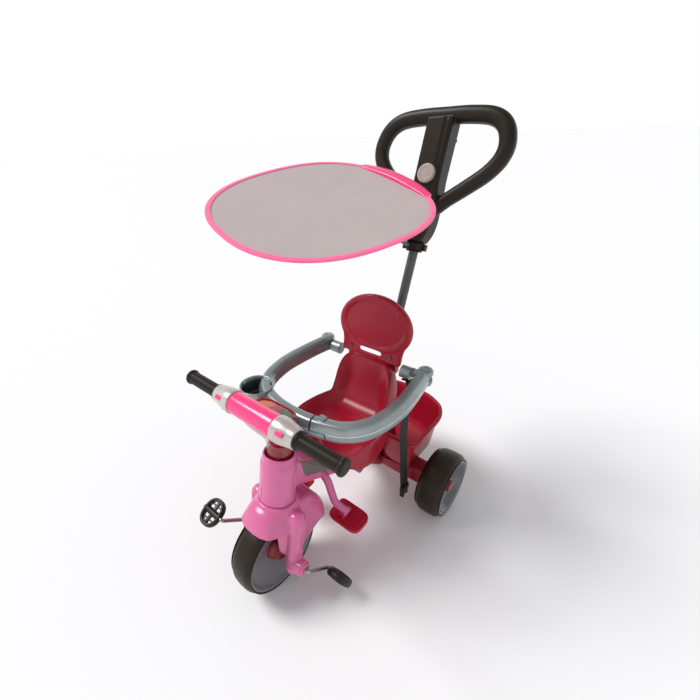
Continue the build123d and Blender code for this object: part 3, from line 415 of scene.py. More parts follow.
# ---- Push tube: painted steel, in the socket at the back of the frame.
def painted_tube(name, colour):
    material, start, shader = new_finish(name)
    where = start.node("TexCoord", out=3)
    slow = start.node("TexNoise", Vector=where, Scale=25.0, Detail=3.0)
    fine = start.node("TexNoise", Vector=where, Scale=2200.0, Detail=1.0)
    rubbed = start.node("TexNoise", Vector=start.node("Mapping", Vector=where, Scale=(300.0, 300.0, 8.0)),
                        Scale=1.0, Detail=4.0)
    worn = ((rubbed - 0.62) * 6.0).clamped()
    base = (worn * 0.4).mixed(slow.mixed(darker(colour, 0.85), darker(colour, 1.15)), shade(150, 148, 146))
    bump = start.node("Bump", Strength=0.08, Distance=0.0003, Height=fine)
    feed(material, shader, Base_Color=base, Roughness=(0.34 + worn * 0.2 + (slow - 0.5) * 0.1).clamped(),
         Normal=bump)
    shader.inputs["Metallic"].default_value = 0.35
    return material


tube_finish = painted_tube("dark grey paint", shade(78, 78, 80))
top_of_tube = 674.0
tube_wall = np.array([(-49, 10.4), (-49, 12), (top_of_tube, 12), (top_of_tube, 10.4)])
tube_shell = turned(tube_wall * MM, tube_foot, along_tube, 64)
piece("push_tube_shell", [(tube_shell, True, True, False)], tube_finish, "frame", ["push_tube"])


# ---- Seat: one moulding with a shallow pan, a raised rim that runs up into the back, and a deep skirt.
# It is open below and screwed down through the bracket.
def smooth_line(points, count, closed=False):
    """A Catmull-Rom curve: between each pair of points a cubic, whose ends run parallel to the chord of the
    points on either side."""
    points = np.asarray(points, float)
    if closed:
        framed = np.vstack([points[-1:], points, points[:2]])
    else:
        framed = np.vstack([2 * points[0] - points[1], points, 2 * points[-1] - points[-2]])
    spans = len(framed) - 3
    place_on = np.linspace(0, spans, count, endpoint=not closed)
    span = np.minimum(place_on.astype(int), spans - 1)
    t = (place_on - span)[:, None]
    a, b, c, d = (framed[span + k] for k in range(4))
    square, cube = 2 * a - 5 * b + 4 * c - d, 3 * b - a - 3 * c + d
    return 0.5 * (2 * b + (c - a) * t + square * t ** 2 + cube * t ** 3)


def even_line(points, count, closed=False):
    """The same curve with its points spread evenly along its length."""
    fine = smooth_line(points, 1500, closed)
    if closed:
        fine = np.vstack([fine, fine[:1]])
    run = np.concatenate([[0], np.cumsum(np.linalg.norm(np.diff(fine, axis=0), axis=1))])
    wanted = np.linspace(0, run[-1], count, endpoint=not closed)
    return np.stack([np.interp(wanted, run, fine[:, k]) for k in range(fine.shape[1])], 1)


def eased(value, low, high):
    """0 below low, 1 above high, and 3t^2 - 2t^3 between."""
    t = np.clip((value - low) / (high - low), 0, 1)
    return t * t * (3 - 2 * t)


pan_points = [(-292, 326), (-272, 321), (-235, 315), (-200, 312), (-150, 311), (-112, 313), (-88, 327),
              (-74, 358), (-64, 402), (-56, 459)]
pan_curve = even_line(pan_points, 400)
pan_length = np.concatenate([[0], np.cumsum(np.linalg.norm(np.diff(pan_curve, axis=0), axis=1))])
pan_slope = np.gradient(pan_curve, pan_length, axis=0)
half_outline = [(0, 24), (30, 14), (62, 3), (86, 10), (104, 32), (117, 84), (113, 138), (101, 180),
                (90, 214), (86, 250), (82, 290), (74, 320), (56, 341), (30, pan_length[-1] - 1),
                (0, pan_length[-1])]
other_half = [(-x, s) for x, s in half_outline[-2:0:-1]]
seat_loop = even_line(half_outline + other_half, 240, closed=True)


def on_pan(x, s, lift):
    """A point of the seat: s runs along the pan's middle and up the back, lift stands off the surface."""
    y, z = (np.interp(s, pan_length, pan_curve[:, k]) for k in range(2))
    slope_y, slope_z = (np.interp(s, pan_length, pan_slope[:, k]) for k in range(2))
    return np.stack([x, y - slope_z * lift, z + slope_y * lift], -1)


def seat_rim(s):
    """How far the rim stands above the pan's middle, from the front edge to the top of the back."""
    return np.interp(s, [0, 20, 60, 100, 180, 215, 255, 300, 330, 345],
                     [4, 10, 21, 24, 25, 24, 21, 17, 10, 2])


spread = np.linspace(0, 1, 44)[:, None]
pan_middle = 150.0
loop_x, loop_s = seat_loop[:, 0], seat_loop[:, 1]
flat_x = loop_x[None] * spread
flat_s = pan_middle + (loop_s - pan_middle)[None] * spread
rise = seat_rim(loop_s)[None] * (0.16 * spread ** 2 + 0.84 * eased(spread, 0.60, 1.0))
bowl = on_pan(flat_x * 0.955, pan_middle + (flat_s - pan_middle) * 0.975, rise)
skirt_at = [0, 50, 95, 140, 181, 200, 215, 235, 255, 345]
skirt_y = np.interp(loop_s, skirt_at, [-289, -240, -200, -150, -110, -84, -57, -46, -43, -43])
skirt_z = np.interp(loop_s, skirt_at, [304, 270, 265, 263, 274, 284, 292, 330, 372, 454])
top_edge = on_pan(loop_x * 0.975, pan_middle + (loop_s - pan_middle) * 0.99, seat_rim(loop_s) + 1.5)
outer_edge = on_pan(loop_x, loop_s, seat_rim(loop_s) - 3.0)
foot_edge = np.stack([loop_x * 0.965, skirt_y, skirt_z], 1)
down = np.linspace(0, 1, 14)[:, None, None]
belly = np.sin(pi * down) * 1.5 * np.sign(loop_x)[None, :, None] * np.array([1, 0, 0])
skirt = outer_edge[None] * (1 - down) + foot_edge[None] * down + belly
seat_grid = np.concatenate([bowl, top_edge[None], skirt]) * MM + [0, axle_y, 0]
seat_shell = piece("seat_moulding", [(seat_grid, False, True, False)], crimson_finish, "frame", ["seat"])


def thicken(made, thickness, offset=-1.0):
    """Gives an open skin its wall, inwards from its outer face."""
    wall = made.modifiers.new("wall", "SOLIDIFY")
    wall.thickness = thickness
    wall.offset = offset
    wall.use_even_offset = False


thicken(seat_shell, 3.0 * MM)

# The two lugs on the back of the seat that the backrest is screwed to.
lug_line = seen_from_side([(-44, 424), (-28, 424), (-23, 440), (-23, 481), (-31.4, 481), (-36, 456),
                           (-44, 455)])
lugs = [slab(rounded(lug_line, 3 * MM), hand * 60 * MM, 13 * MM, 2 * MM) for hand in (1, -1)]
piece("seat_lugs", [(lug, False, True, True) for lug in lugs], crimson_finish, "frame", ())

# ---- Backrest: a thick oval plate with a raised border and a carrying slot, screwed to the seat's lugs.
back_lean = radians(9.7)
back_foot = np.array([0, axle_y - 0.052, 0.4594])
back_front = np.array([0, -cos(back_lean), sin(back_lean)])
back_up = np.array([0, sin(back_lean), cos(back_lean)])


def squared(wave, power):
    """A sine or cosine w with squarer turns, sgn(w)|w|^power, which makes a circle a rounded square."""
    return np.sign(wave) * np.abs(wave) ** power


# Its outline is an ellipse that runs into a short wide neck.
back_wide, back_tall = 105.0, 79.0
arch_turn = np.radians(np.linspace(-30, 210, 90))
arch = np.stack([back_wide * np.cos(arch_turn), back_tall + back_tall * np.sin(arch_turn)], 1)
back_line = np.vstack([[(86, -6), (87.5, 24)], arch,
                       [(-87.5, 24), (-86, -6), (-40, -8), (0, -8), (40, -8)]])
outer_loop = even_line(rounded(back_line, 6, 5), 220, closed=True)
slot_centre = np.array([0, 13.0])
slot_turn = np.arctan2((outer_loop[:, 1] - 40) / 80, outer_loop[:, 0] / back_wide)
slot_loop = slot_centre + np.stack([33.5 * squared(np.cos(slot_turn), 0.35),
                                    6.6 * squared(np.sin(slot_turn), 0.6)], 1)
share = (np.linspace(0, 1, 50) ** 0.9)[:, None, None]
rim_in = outer_loop * 0.945 + [0, 4.0]
face = slot_loop[None] * (1 - share) + rim_in[None] * share
oval = np.sqrt((face[..., 0] / 88) ** 2 + ((face[..., 1] - 84) / 60) ** 2)
dish = -3.2 * (1 - eased(oval, 0.93, 1.02))
bulge = 1.6 * (1 - eased(np.abs(oval - 1.10), 0.0, 0.16))
front_grid = np.concatenate([face, (dish + bulge)[..., None]], -1)
edge_turn = np.linspace(0, pi, 12)[1:-1, None, None]
edge_flat = rim_in[None] + (outer_loop - rim_in)[None] * np.sin(edge_turn) ** 0.7
edge_deep = np.broadcast_to(-8 + 8 * np.cos(edge_turn), edge_flat.shape[:2] + (1,))
edge_grid = np.concatenate([edge_flat, edge_deep], -1)
rear_depth = -4.5 - 11.5 * eased(share[::-1], 0.80, 0.97) * np.ones(face.shape[:2] + (1,))
rear_grid = np.concatenate([face[::-1], rear_depth + np.minimum(dish[::-1, :, None], 0)], -1)
plate = np.concatenate([front_grid, edge_grid, rear_grid])
backrest_points = (back_foot + plate[..., :1] * MM * np.array([1, 0, 0]) + plate[..., 1:2] * MM * back_up
                   + plate[..., 2:] * MM * back_front)
back_finish = moulded("backrest plastic", shade(160, 20, 44), rough=0.28, grain=0.06, coat=0.05, shine=0.35)
piece("backrest_moulding", [(backrest_points, True, True, False)], back_finish, "frame", ["backrest"])
screw_finish = bright_steel("dulled screw steel", shade(110, 104, 100), 0.4)
refinish(screw_finish, "back_screws", "handle_screws", "canopy_arm")

# ---- Guard: two hollow silver-grey arms on upright pins, lapped and latched in front of the child.
# Each arm is a moulding with a flat top, a bright line along its outer face and a rounded knuckle.
guard_tilt = radians(1.0)
guard_origin = np.array([0, axle_y - 0.038, 0.447])
guard_back = np.array([0, cos(guard_tilt), sin(guard_tilt)])
guard_up = np.array([0, -sin(guard_tilt), cos(guard_tilt)])
half_ring = np.array([(150, -12), (156, -45), (162, -90), (165.5, -130), (165, -165), (158, -205),
                      (147, -235), (128, -261), (102, -279), (52, -294), (0, -298)], float)


def guard_finish_of(name, low, high):
    """Silver-grey plastic with metal flake: a metallic base under a clear gloss."""
    material, start, shader = new_finish(name)
    where = start.node("TexCoord", out=3)
    slow = start.node("TexNoise", Vector=where, Scale=11.0, Detail=3.0)
    flake = start.node("TexVoronoi", Vector=where, Scale=2400.0)
    fine = start.node("TexNoise", Vector=where, Scale=900.0, Detail=2.0)
    drawn = start.node("Mapping", Vector=where, Scale=(9.0, 9.0, 60.0))
    flow = start.node("TexNoise", Vector=drawn, Scale=1.0, Detail=3.0)
    tone = slow * 0.5 + flow * 0.5
    base = ((tone - 0.35) * 3.0).clamped().mixed(low, high)
    bump = start.node("Bump", Strength=0.06, Distance=0.0003, Height=fine + flake * 0.5)
    feed(material, shader, Base_Color=base, Roughness=(0.27 + (slow - 0.5) * 0.12 + flake * 0.05).clamped(),
         Metallic=(0.55 + (flow - 0.5) * 0.3).clamped(), Normal=bump)
    shader.inputs["Coat Weight"].default_value = 0.4
    shader.inputs["Coat Roughness"].default_value = 0.15
    return material


guard_finish = guard_finish_of("silver grey plastic", shade(124, 138, 139), shade(160, 169, 168))
guard_line_finish = guard_finish_of("bright guard line", shade(196, 204, 202), shade(222, 226, 224))
# Darker tones for the inside of the cup: painted shade in its hollow.
cup_painted_shade = guard_finish_of("cup painted shade", shade(52, 66, 66), shade(70, 84, 84))


def carried(path, profile, up, closed=False):
    """A profile of (outward, up) points carried along a path, square to it. Each station may have its own."""
    path = np.asarray(path, float)
    if closed:
        run = np.roll(path, -1, 0) - np.roll(path, 1, 0)
    else:
        run = np.gradient(path, axis=0)
    run /= np.linalg.norm(run, axis=1, keepdims=True)
    up = np.broadcast_to(np.asarray(up, float), path.shape)
    out = np.cross(run, up)
    out /= np.linalg.norm(out, axis=1, keepdims=True)
    top = np.cross(out, run)
    profile = np.broadcast_to(np.asarray(profile, float), (len(path),) + np.shape(profile)[-2:])
    return path[:, None] + profile[..., :1] * out[:, None] + profile[..., 1:] * top[:, None]


# The section's outer side is bevelled above a narrow groove; its inner side is plain.
arm_section = rounded([(-15.5, -15), (-15.5, 14), (-11, 21.5), (3, 22), (9, 19.5), (15.5, 8), (16.5, 4.5),
                       (15.2, 3.2), (15.2, 1.6), (16.8, 0.4), (16.8, -9), (13, -18), (6, -22), (-9, -22)],
                      [5, 5, 4, 3, 4, 4, 1.2, 0.8, 0.8, 1.2, 4, 5, 4, 5], 5)


def ring_points(flat, lift=0.0):
    flat = np.asarray(flat, float) * MM
    return guard_origin + flat[:, :1] * np.array([1, 0, 0]) + flat[:, 1:2] * guard_back + lift * MM * guard_up


def guard_arm(flat, hand, low=-22.0, high=22.0):
    """An arm's skin along a flat path. Its section is cut off below low and above high, which makes the lap's
    two half-height tongues."""
    section = arm_section * [hand, 1]
    section[:, 1] = np.clip(section[:, 1], low, high)
    return carried(ring_points(flat), section * MM, guard_up)


def knuckle(hand):
    """The rounded end of an arm: two thick discs on the pin, with room for the bracket's tongue between."""
    centre = guard_origin + np.array([hand * 150 * MM, 0, 0])
    upper = rounded([(6.4, 5.2), (6.4, 18.5), (17, 19), (22, 14), (22.6, 7), (21.4, 6.2), (21.4, 0)],
                    [0.5, 1, 5, 4, 1.5, 1, 0.1], 5, closed=False) * MM
    lower = rounded([(-6.4, 5.2), (-6.4, 18.5), (-17, 19), (-22, 14), (-22, 0)], [0.5, 1, 5, 4, 0.1], 5,
                    closed=False) * MM
    return [(turned(part, centre, (0, 0, 1), 64), False, True, False) for part in (upper, lower)]


left_path = even_line(half_ring[:-1], 110)
left_path = left_path[left_path[:, 0] > 84.5]
tongue_start = even_line(half_ring[-5:], 60)
upper_tongue = tongue_start[(tongue_start[:, 0] <= 90) & (tongue_start[:, 0] >= 52)]
left_arm = guard_arm(left_path, -1)
left_tongue = guard_arm(upper_tongue, -1, low=0.3)
piece("guard_arm_left", [(left_arm, False, True, True), (left_tongue, False, True, True)] + knuckle(1),
      guard_finish, "guard_left", ["guard_arm_l"])
whole = np.vstack([half_ring[:-1] * [-1, 1], half_ring[::-1]])
right_path = even_line(whole, 260)
right_full = right_path[(right_path[:, 0] < 51.5) | (right_path[:, 1] > -100) & (right_path[:, 0] < 0)]
lower_tongue = right_path[(right_path[:, 0] >= 46) & (right_path[:, 0] < 84) & (right_path[:, 1] < -200)]
right_arm = guard_arm(right_full, 1)
right_tongue = guard_arm(lower_tongue, 1, high=-0.3)
piece("guard_arm_right", [(right_arm, False, True, True), (right_tongue, False, True, True)] + knuckle(-1),
      guard_finish, "frame", ["guard_arm_r"])
line_section = rounded([(14.6, 0.2), (16.3, 0.2), (16.3, 3.2), (14.6, 3.4)], 0.5, 3)
for hand, flat, body in ((-1, left_path[4:], "guard_left"), (1, right_full[8:], "frame")):
    strip = carried(ring_points(flat), line_section * [hand, 1] * MM, guard_up)
    piece(f"guard_bright_line_{body}", [(strip, False, True, True)], guard_line_finish, body, ())
refinish(guard_finish, "guard_latch")

# The brackets that carry the pins are bolted to the sides of the seat's back.
refinish(guard_finish, "guard_brackets")

# Cup holder: an open cup with a broad lip, moulded with the right arm.
cup_centre = middle("cup_holder")
cup_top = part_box("cup_holder")[1].z
cup_foot = (cup_centre[0], cup_centre[1], cup_top - 44.6 * MM)
cup_line = rounded([(0, 0), (0, 33), (3, 36), (36, 37.6), (40, 39.6), (43.4, 40.2), (44.6, 38.8),
                    (43.6, 36.4), (39, 35.2), (6, 33.6), (3.4, 31), (3, 0)],
                   [0.1, 3, 3, 3, 2, 1.5, 1.2, 1.2, 3, 3, 3, 0.1], closed=False)
cup_shape = turned(cup_line * MM, cup_foot, (0, 0, 1), 96)
piece("cup_holder_shell", [(cup_shape, False, True, False)], guard_finish, "frame", ["cup_holder"])
# A thin darker skin laid on the cup's inside is painted shade, darkening the hollow where shade falls.
cup_shade_line = rounded([(3.3, 0), (3.3, 31.5), (6, 33.9), (38, 35.6), (38, 35.2), (6.4, 33.2), (4.1, 30),
                       (4.1, 0)], [0.1, 2, 3, 0.1, 0.1, 3, 2, 0.1], 5, closed=False)
cup_shade_sheet = turned(cup_shade_line * MM, cup_foot, (0, 0, 1), 96)
piece("cup_holder_painted_shade", [(cup_shade_sheet, False, True, False)], cup_painted_shade, "frame", ())

# ---- Basket: a thin open tub with a rolled rim, notched round the push tube's socket.
basket_line = rounded([(-150, 96), (-150, -57), (-42, -57), (-42, 22), (42, 22), (42, -57), (150, -57),
                       (150, 96), (128, 142), (80, 171), (0, 184), (-80, 171), (-128, 142)],
                      [30, 16, 12, 12, 12, 12, 16, 30, 20, 24, 40, 24, 20], 9)


def drawn_in(outline, inset):
    """A closed outline moved inwards along its own normal."""
    run = np.roll(outline, -1, 0) - np.roll(outline, 1, 0)
    run /= np.linalg.norm(run, axis=1, keepdims=True) + 1e-12
    normal = np.stack([-run[:, 1], run[:, 0]], 1)
    area = np.sum(outline[:, 0] * np.roll(outline[:, 1], -1) - np.roll(outline[:, 0], -1) * outline[:, 1])
    return outline + normal * np.sign(area) * np.asarray(inset)


def stacked(outline, steps):
    """Level copies of an outline, each drawn in by its own inset and set at its own height."""
    return np.stack([np.concatenate([drawn_in(outline, inset), np.full((len(outline), 1), height)], 1)
                     for inset, height in steps])


tub_steps = [(20, 124.6), (16.5, 125.2), (15, 128), (8, 180), (2, 221), (-3, 225), (-6.5, 227.5),
             (-7.5, 231.5), (-6, 235), (-2, 236.4), (3, 235.4), (5.4, 231), (9, 200), (18.6, 131),
             (20.5, 128.6), (23, 128.1)]
tub = stacked(basket_line, tub_steps) * MM + [0, axle_y, 0]
basket_finish = moulded("basket plastic", shade(170, 20, 44), rough=0.27, grain=0.06, coat=0.05, shine=0.35)
piece("basket_tub", [(tub, False, True, True)], basket_finish, "frame", ["basket"])

# ---- Footrest: a bent pink tube through the beam, with two crimson plates that fold up on its ends.
foot_points = [(-88, -272, 139), (-64, -285, 164), (-48, -290, 236), (-24, -290, 262), (24, -290, 262),
               (48, -290, 236), (64, -285, 164), (88, -272, 139)]
foot_path = rounded(np.array(foot_points, float), 12, 6, closed=False) * MM + [0, axle_y, 0]
circle = np.stack([np.cos(np.linspace(0, 2 * pi, 32, endpoint=False)),
                   np.sin(np.linspace(0, 2 * pi, 32, endpoint=False))], 1)
foot_skin = carried(foot_path, circle * 10 * MM, (0, 1, 0))
barrel_side = [(18, 0), (18, 4), (12, 4), (12, 8.4), (11, 9)]
barrel_line = np.array([(-along, radius) for along, radius in barrel_side] + barrel_side[::-1]) * MM
barrels = [(turned(barrel_line, (hand * 86 * MM, axle_y - 0.272, 0.134), (0, 1, 0), 48), False, True, False)
           for hand in (1, -1)]
pink_metal = moulded("pink paint", shade(204, 92, 146), rough=0.22, grain=0.03, coat=0.5)
piece("footrest_bar", [(foot_skin, False, True, True)] + barrels, pink_metal, "frame", ["footrest_tube"])
plate_finish = moulded("footplate plastic", shade(190, 26, 54), rough=0.36, grain=0.12, shine=0.35)
for hand, letter, body in ((1, "l", "footrest_left"), (-1, "r", "footrest_right")):
    plate_line = [(47, -232), (47, -291), (60, -300), (128, -301), (141, -290), (140, -244), (124, -233)]
    plate_loop = rounded(np.array(plate_line) * [hand, 1], 16, 8)
    layers = [(8, 113.2), (1.5, 113.2), (0, 115), (0, 122), (1.2, 123.8), (3.4, 123.9), (4.4, 122.6),
              (6.0, 122.4), (7.2, 123.4), (10, 123.6)]
    plate = stacked(plate_loop, layers) * MM + [0, axle_y, 0]
    hinge_x = hand * 86
    ear_line = rounded([(hinge_x - 8, 122), (hinge_x + 8, 122), (hinge_x + 8, 134), (hinge_x, 142),
                        (hinge_x - 8, 134)], 4)
    ears = [(slab(ear_line * MM, axle_y - 0.272 + end * 15.2 * MM, 2.8 * MM, 0.8 * MM, (0, 1, 0), (1, 0, 0),
                  (0, 0, 1)), False, True, True) for end in (1, -1)]
    piece(f"footplate_{letter}_pad", [(plate, False, True, True)] + ears, plate_finish, body,
          [f"footplate_{letter}"])

# ---- Head tube: a round shroud over the steering post, moulded with the beam.
rake = radians(11.2)
steer_foot = np.array([0, *middle("front_tyre")[1:]])
steer_up = np.array([0, sin(rake), cos(rake)])
steer_back = np.array([0, cos(rake), -sin(rake)])


def on_steer(x, back, height):
    """A point given across, behind and up the steering axis from the front wheel's centre, in millimetres."""
    x, back, height = (np.asarray(v, float)[..., None] * MM for v in np.broadcast_arrays(x, back, height))
    return steer_foot + x * np.array([1, 0, 0]) + back * steer_back + height * steer_up


head_line = [(152.7, 20.1), (152.7, 41), (156, 41.6), (247, 41), (251, 40.2), (257, 37.4), (260, 37),
             (266, 36.8), (271, 35.6), (272, 33.5), (271, 31.4), (250, 31), (250, 20.1)]
head = turned(rounded(head_line, [0.3, 1, 1.5, 3, 2, 1, 1, 1, 1.4, 1.2, 1, 0.3, 0.3]) * MM, steer_foot,
              steer_up, 128)
piece("head_tube_shroud", [(head, True, True, False)], pink_finish, "frame", ["head_tube"])
dark_finish = moulded("black plastic", shade(32, 27, 23), rough=0.34, grain=0.08, shine=0.3)
refinish(dark_finish, "head_bushes")


# ---- Fork: two halves screwed together round the crown, with a visor over the tyre, a rounded mudguard
# behind it, and a leg each side that carries the crank. Its parts are melted into one skin.
def merged(name, patches, material, body, replaced, voxel, passes, hollow=None, factor=0.5):
    """One moulded skin from overlapping closed shells: remeshed as a whole, hollowed, and eased where they
    join."""
    made = piece(name, patches, material, None, merge=1e-7)

    def settle(kind, **settings):
        step = made.modifiers.new(kind.lower(), kind)
        for key, value in settings.items():
            setattr(step, key, value)
        ready = bpy.data.meshes.new_from_object(
            made.evaluated_get(bpy.context.evaluated_depsgraph_get()))
        made.modifiers.clear()
        made.data = ready

    settle("REMESH", mode="VOXEL", voxel_size=voxel)
    if hollow:
        cutter = piece(name + "_hollow", hollow, material, None)
        bpy.context.view_layer.update()
        settle("BOOLEAN", operation="DIFFERENCE", object=cutter, solver="EXACT")
        bpy.data.objects.remove(cutter)
        settle("REMESH", mode="VOXEL", voxel_size=voxel)
    settle("SMOOTH", factor=factor, iterations=passes)
    mesh = made.data
    mesh.polygons.foreach_set("use_smooth", np.full(len(mesh.polygons), True))
    if not mesh.materials:
        mesh.materials.append(material)
    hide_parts(*replaced)
    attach(made, body)
    return made


def sphere(centre, radius, rows=24, columns=40):
    turn_to = np.linspace(0, pi, rows)
    return turned(np.stack([-np.cos(turn_to), np.sin(turn_to)], 1) * radius, centre, (0, 0, 1), columns)


def rod(start, end, radius, columns=40):
    start, end = np.asarray(start, float), np.asarray(end, float)
    length = np.linalg.norm(end - start)
    first, last = radius if isinstance(radius, tuple) else (radius, radius)
    return turned([(0, 0), (0, first), (length, last), (length, 0)], start, end - start, columns)


wheel_y, wheel_z = steer_foot[1], steer_foot[2]


def by_wheel(points):
    """Side-view sizes in millimetres from the front wheel's centre, as metres in the frame."""
    return np.asarray(points, float) * MM + [wheel_y, wheel_z]


# The visor flares from the head tube's foot to a lip: radius and height by bearing, 0 straight ahead.
visor_stations = np.linspace(0, 1, 30)
visor_turn = np.linspace(-pi, pi, 96, endpoint=False)
bearing_at = np.radians([0, 20, 31, 45, 60, 80, 100, 125, 150, 180])
lip_reach = np.interp(np.abs(visor_turn), bearing_at, [89, 90, 89, 78, 67, 61, 59, 54, 46, 44])
lip_level = np.interp(np.abs(visor_turn), bearing_at, [112, 111, 108, 102, 96, 94, 98, 104, 108, 110])
visor_back, crown_level, crown_reach = 29.0, 144.0, 44.0
flare = visor_stations[:, None]
ease = flare ** 1.1
swell = np.sin(pi * flare)
reach = crown_reach * (1 - ease) + lip_reach * ease + swell * 3.0
visor_x = reach * np.sin(visor_turn)
visor_dy = visor_back - reach * np.cos(visor_turn)
visor_dz = (crown_level + 8.0 * np.cos(visor_turn)) * (1 - ease) + lip_level * ease + swell * 6.0
visor = np.stack([visor_x * MM, wheel_y + visor_dy * MM, wheel_z + visor_dz * MM], -1)
mudguard_line = rounded(by_wheel([(-20, 20), (-20, 100), (0, 128), (40, 134), (76, 136), (112, 112),
                                  (136, 70), (141, 30), (136, 2), (112, 8), (60, -14), (20, -30)]),
                        22 * MM, 8)
mudguard = slab(mudguard_line, 0, 52 * MM, 20 * MM, steps=9)
legs = []
for hand in (1, -1):
    leg_top = np.array([hand * 60 * MM, wheel_y + 27 * MM, wheel_z + 117 * MM])
    leg_foot = np.array([hand * 62 * MM, wheel_y - 2 * MM, wheel_z - 22 * MM])
    boss = np.array([hand * 62 * MM, wheel_y, wheel_z])
    shoulder = np.array([hand * 20 * MM, wheel_y + 24 * MM, wheel_z + 124 * MM])
    legs += [sphere(leg_top, 21.5 * MM), rod(leg_top, leg_foot, (21.5 * MM, 18.5 * MM)),
             sphere(leg_foot, 18.5 * MM), rod(boss, boss + [hand * 35.4 * MM, 0, 0], 19.5 * MM),
             rod(shoulder, leg_top, 20 * MM)]
crown = turned(np.array([(112, 0), (112, 50), (139, 50), (146, 46.5), (151, 44.5), (151.3, 0)]) * MM,
               steer_foot, steer_up, 96)
turn_round = np.linspace(0, 2 * pi, 96, endpoint=False)
tyre_circle = by_wheel(118.5 * np.stack([np.cos(turn_round), np.sin(turn_round)], 1))
tyre_room = slab(tyre_circle, 0, 38.5 * MM, 8 * MM)
fork_parts = [(visor, False, True, True), (crown, False, True, False), (mudguard, False, True, True)]
merged("fork_moulding", fork_parts + [(part, False, True, False) for part in legs], pink_finish, "steering",
       ["fork_l", "fork_r"], 2.0 * MM, 5, hollow=[(tyre_room, False, True, True)])
cap_ring = rounded([(0, 5.3), (0, 15.5), (2.6, 14.8), (3.0, 8), (2.4, 5.3)], [0.1, 0.6, 1, 0.6, 0.1], 4)
end_caps = [spun(cap_ring, hand * 97.6 * MM, wheel_y, wheel_z, hand, 48) for hand in (1, -1)]
piece("fork_end_caps", [(cap, True, True, False) for cap in end_caps], pink_finish, "steering",
      ["fork_caps"])

# ---- Front wheel: a wide tyre on a grey rim with crimson cones, driven directly by the bent crank.
front = middle("front_tyre")
front_tyre = spun(tyre_profile(33.5, 113, 100.7, 0.8), *front)
piece("front_tyre_shell", [(front_tyre, True, True, False)], tyre_finish, "front_wheel", ["front_tyre"])
rim_half = [(32.4, 100.3), (32.6, 98.6), (31.2, 95), (26.5, 92.5), (22, 88), (9, 44), (7, 36), (7, 5.2)]
rim_all = rounded(rim_half + [(-a, r) for a, r in reversed(rim_half)],
                  [0.6, 1.2, 2, 2.5, 5, 10, 3, 0.2, 0.2, 3, 10, 5, 2.5, 2, 1.2, 0.6])
piece("front_rim_dish", [(spun(rim_all, *front), True, True, False)], rim_finish, "front_wheel",
      ["front_rim"])
cone_line = rounded([(7.1, 5.3), (7.1, 33), (14, 31), (24, 24.5), (31, 22.5), (32, 20), (31.4, 16), (29, 14),
                     (29, 5.3)], [0.2, 1, 3, 4, 1.5, 1.5, 1, 1, 0.2])
cones = [spun(cone_line, *front, hand, 72) for hand in (1, -1)]
piece("front_hub_cones", [(cone, True, True, False) for cone in cones], hub_finish, "front_wheel",
      ["front_hubs"])

# ---- Pedals: a thin oval frame with a middle bar and open slots, swinging freely on the crank's end.
# At rest one hangs flat to the rider and the other stands nearly on its edge.
pedal_finish = moulded("pedal plastic", shade(38, 32, 25), rough=0.34, grain=0.14, shine=0.3)
for letter, body, tilt in (("l", "pedal_left", radians(-58)), ("r", "pedal_right", radians(26))):
    centre = middle(f"pedal_{letter}")
    pedal_back = np.array([0, cos(tilt), sin(tilt)])
    pedal_up = np.array([0, -sin(tilt), cos(tilt)])
    loop = (centre + 25.2 * MM * squared(np.cos(turn_round), 0.8)[:, None] * np.array([1, 0, 0])
            + 30.2 * MM * squared(np.sin(turn_round), 0.8)[:, None] * pedal_back)
    section = rounded([(-3.6, -8), (2.2, -8.6), (4.6, -4), (4.6, 4), (2.2, 8.6), (-3.6, 8)], 2.2, 4) * MM
    parts = [(carried(loop, section, pedal_up, closed=True), True, True, False)]
    for along in (-17, -6, 6, 17):
        reach = 27 - abs(along) * 0.5
        bar_shape = rounded([(-reach, along - 1.6), (reach, along - 1.6), (reach, along + 1.6),
                             (-reach, along + 1.6)], 1, 4) * MM
        rung = slab(bar_shape, 0, 2.6 * MM, 1.0 * MM, pedal_up, (1, 0, 0), pedal_back) + centre
        parts.append((rung, False, True, True))
    spine = rounded([(-4, -29), (4, -29), (4, 29), (-4, 29)], 2, 4) * MM
    spine = slab(spine, 0, 3.6 * MM, 1.2 * MM, pedal_up, (1, 0, 0), pedal_back) + centre
    bearing = rounded([(-29.5, 5.1), (-29.5, 8.2), (28, 8.6), (29.5, 7.6), (29.5, 5.1)], 1, 4) * MM
    parts += [(spine, False, True, True), (turned(bearing, centre, (1, 0, 0), 48), True, True, False)]
    piece(f"pedal_{letter}_frame", parts, pedal_finish, body, [f"pedal_{letter}"])


# ---- Column: a clear crimson moulding that stands in the head tube and flares forwards into a cradle for
# the bar, with a small console behind it.
def clear_plastic(name, colour):
    material, start, shader = new_finish(name)
    where = start.node("TexCoord", out=3)
    slow = start.node("TexNoise", Vector=where, Scale=18.0, Detail=3.0)
    fine = start.node("TexNoise", Vector=where, Scale=700.0, Detail=2.0)
    base = ((slow - 0.3) * 2.0).clamped().mixed(darker(colour, 0.75), darker(colour, 1.2))
    bump = start.node("Bump", Strength=0.05, Distance=0.0004, Height=fine + slow)
    feed(material, shader, Base_Color=base, Roughness=(0.12 + (slow - 0.5) * 0.08).clamped(), Normal=bump)
    shader.inputs["Coat Weight"].default_value = 0.4
    shader.inputs["Coat Roughness"].default_value = 0.06
    return material


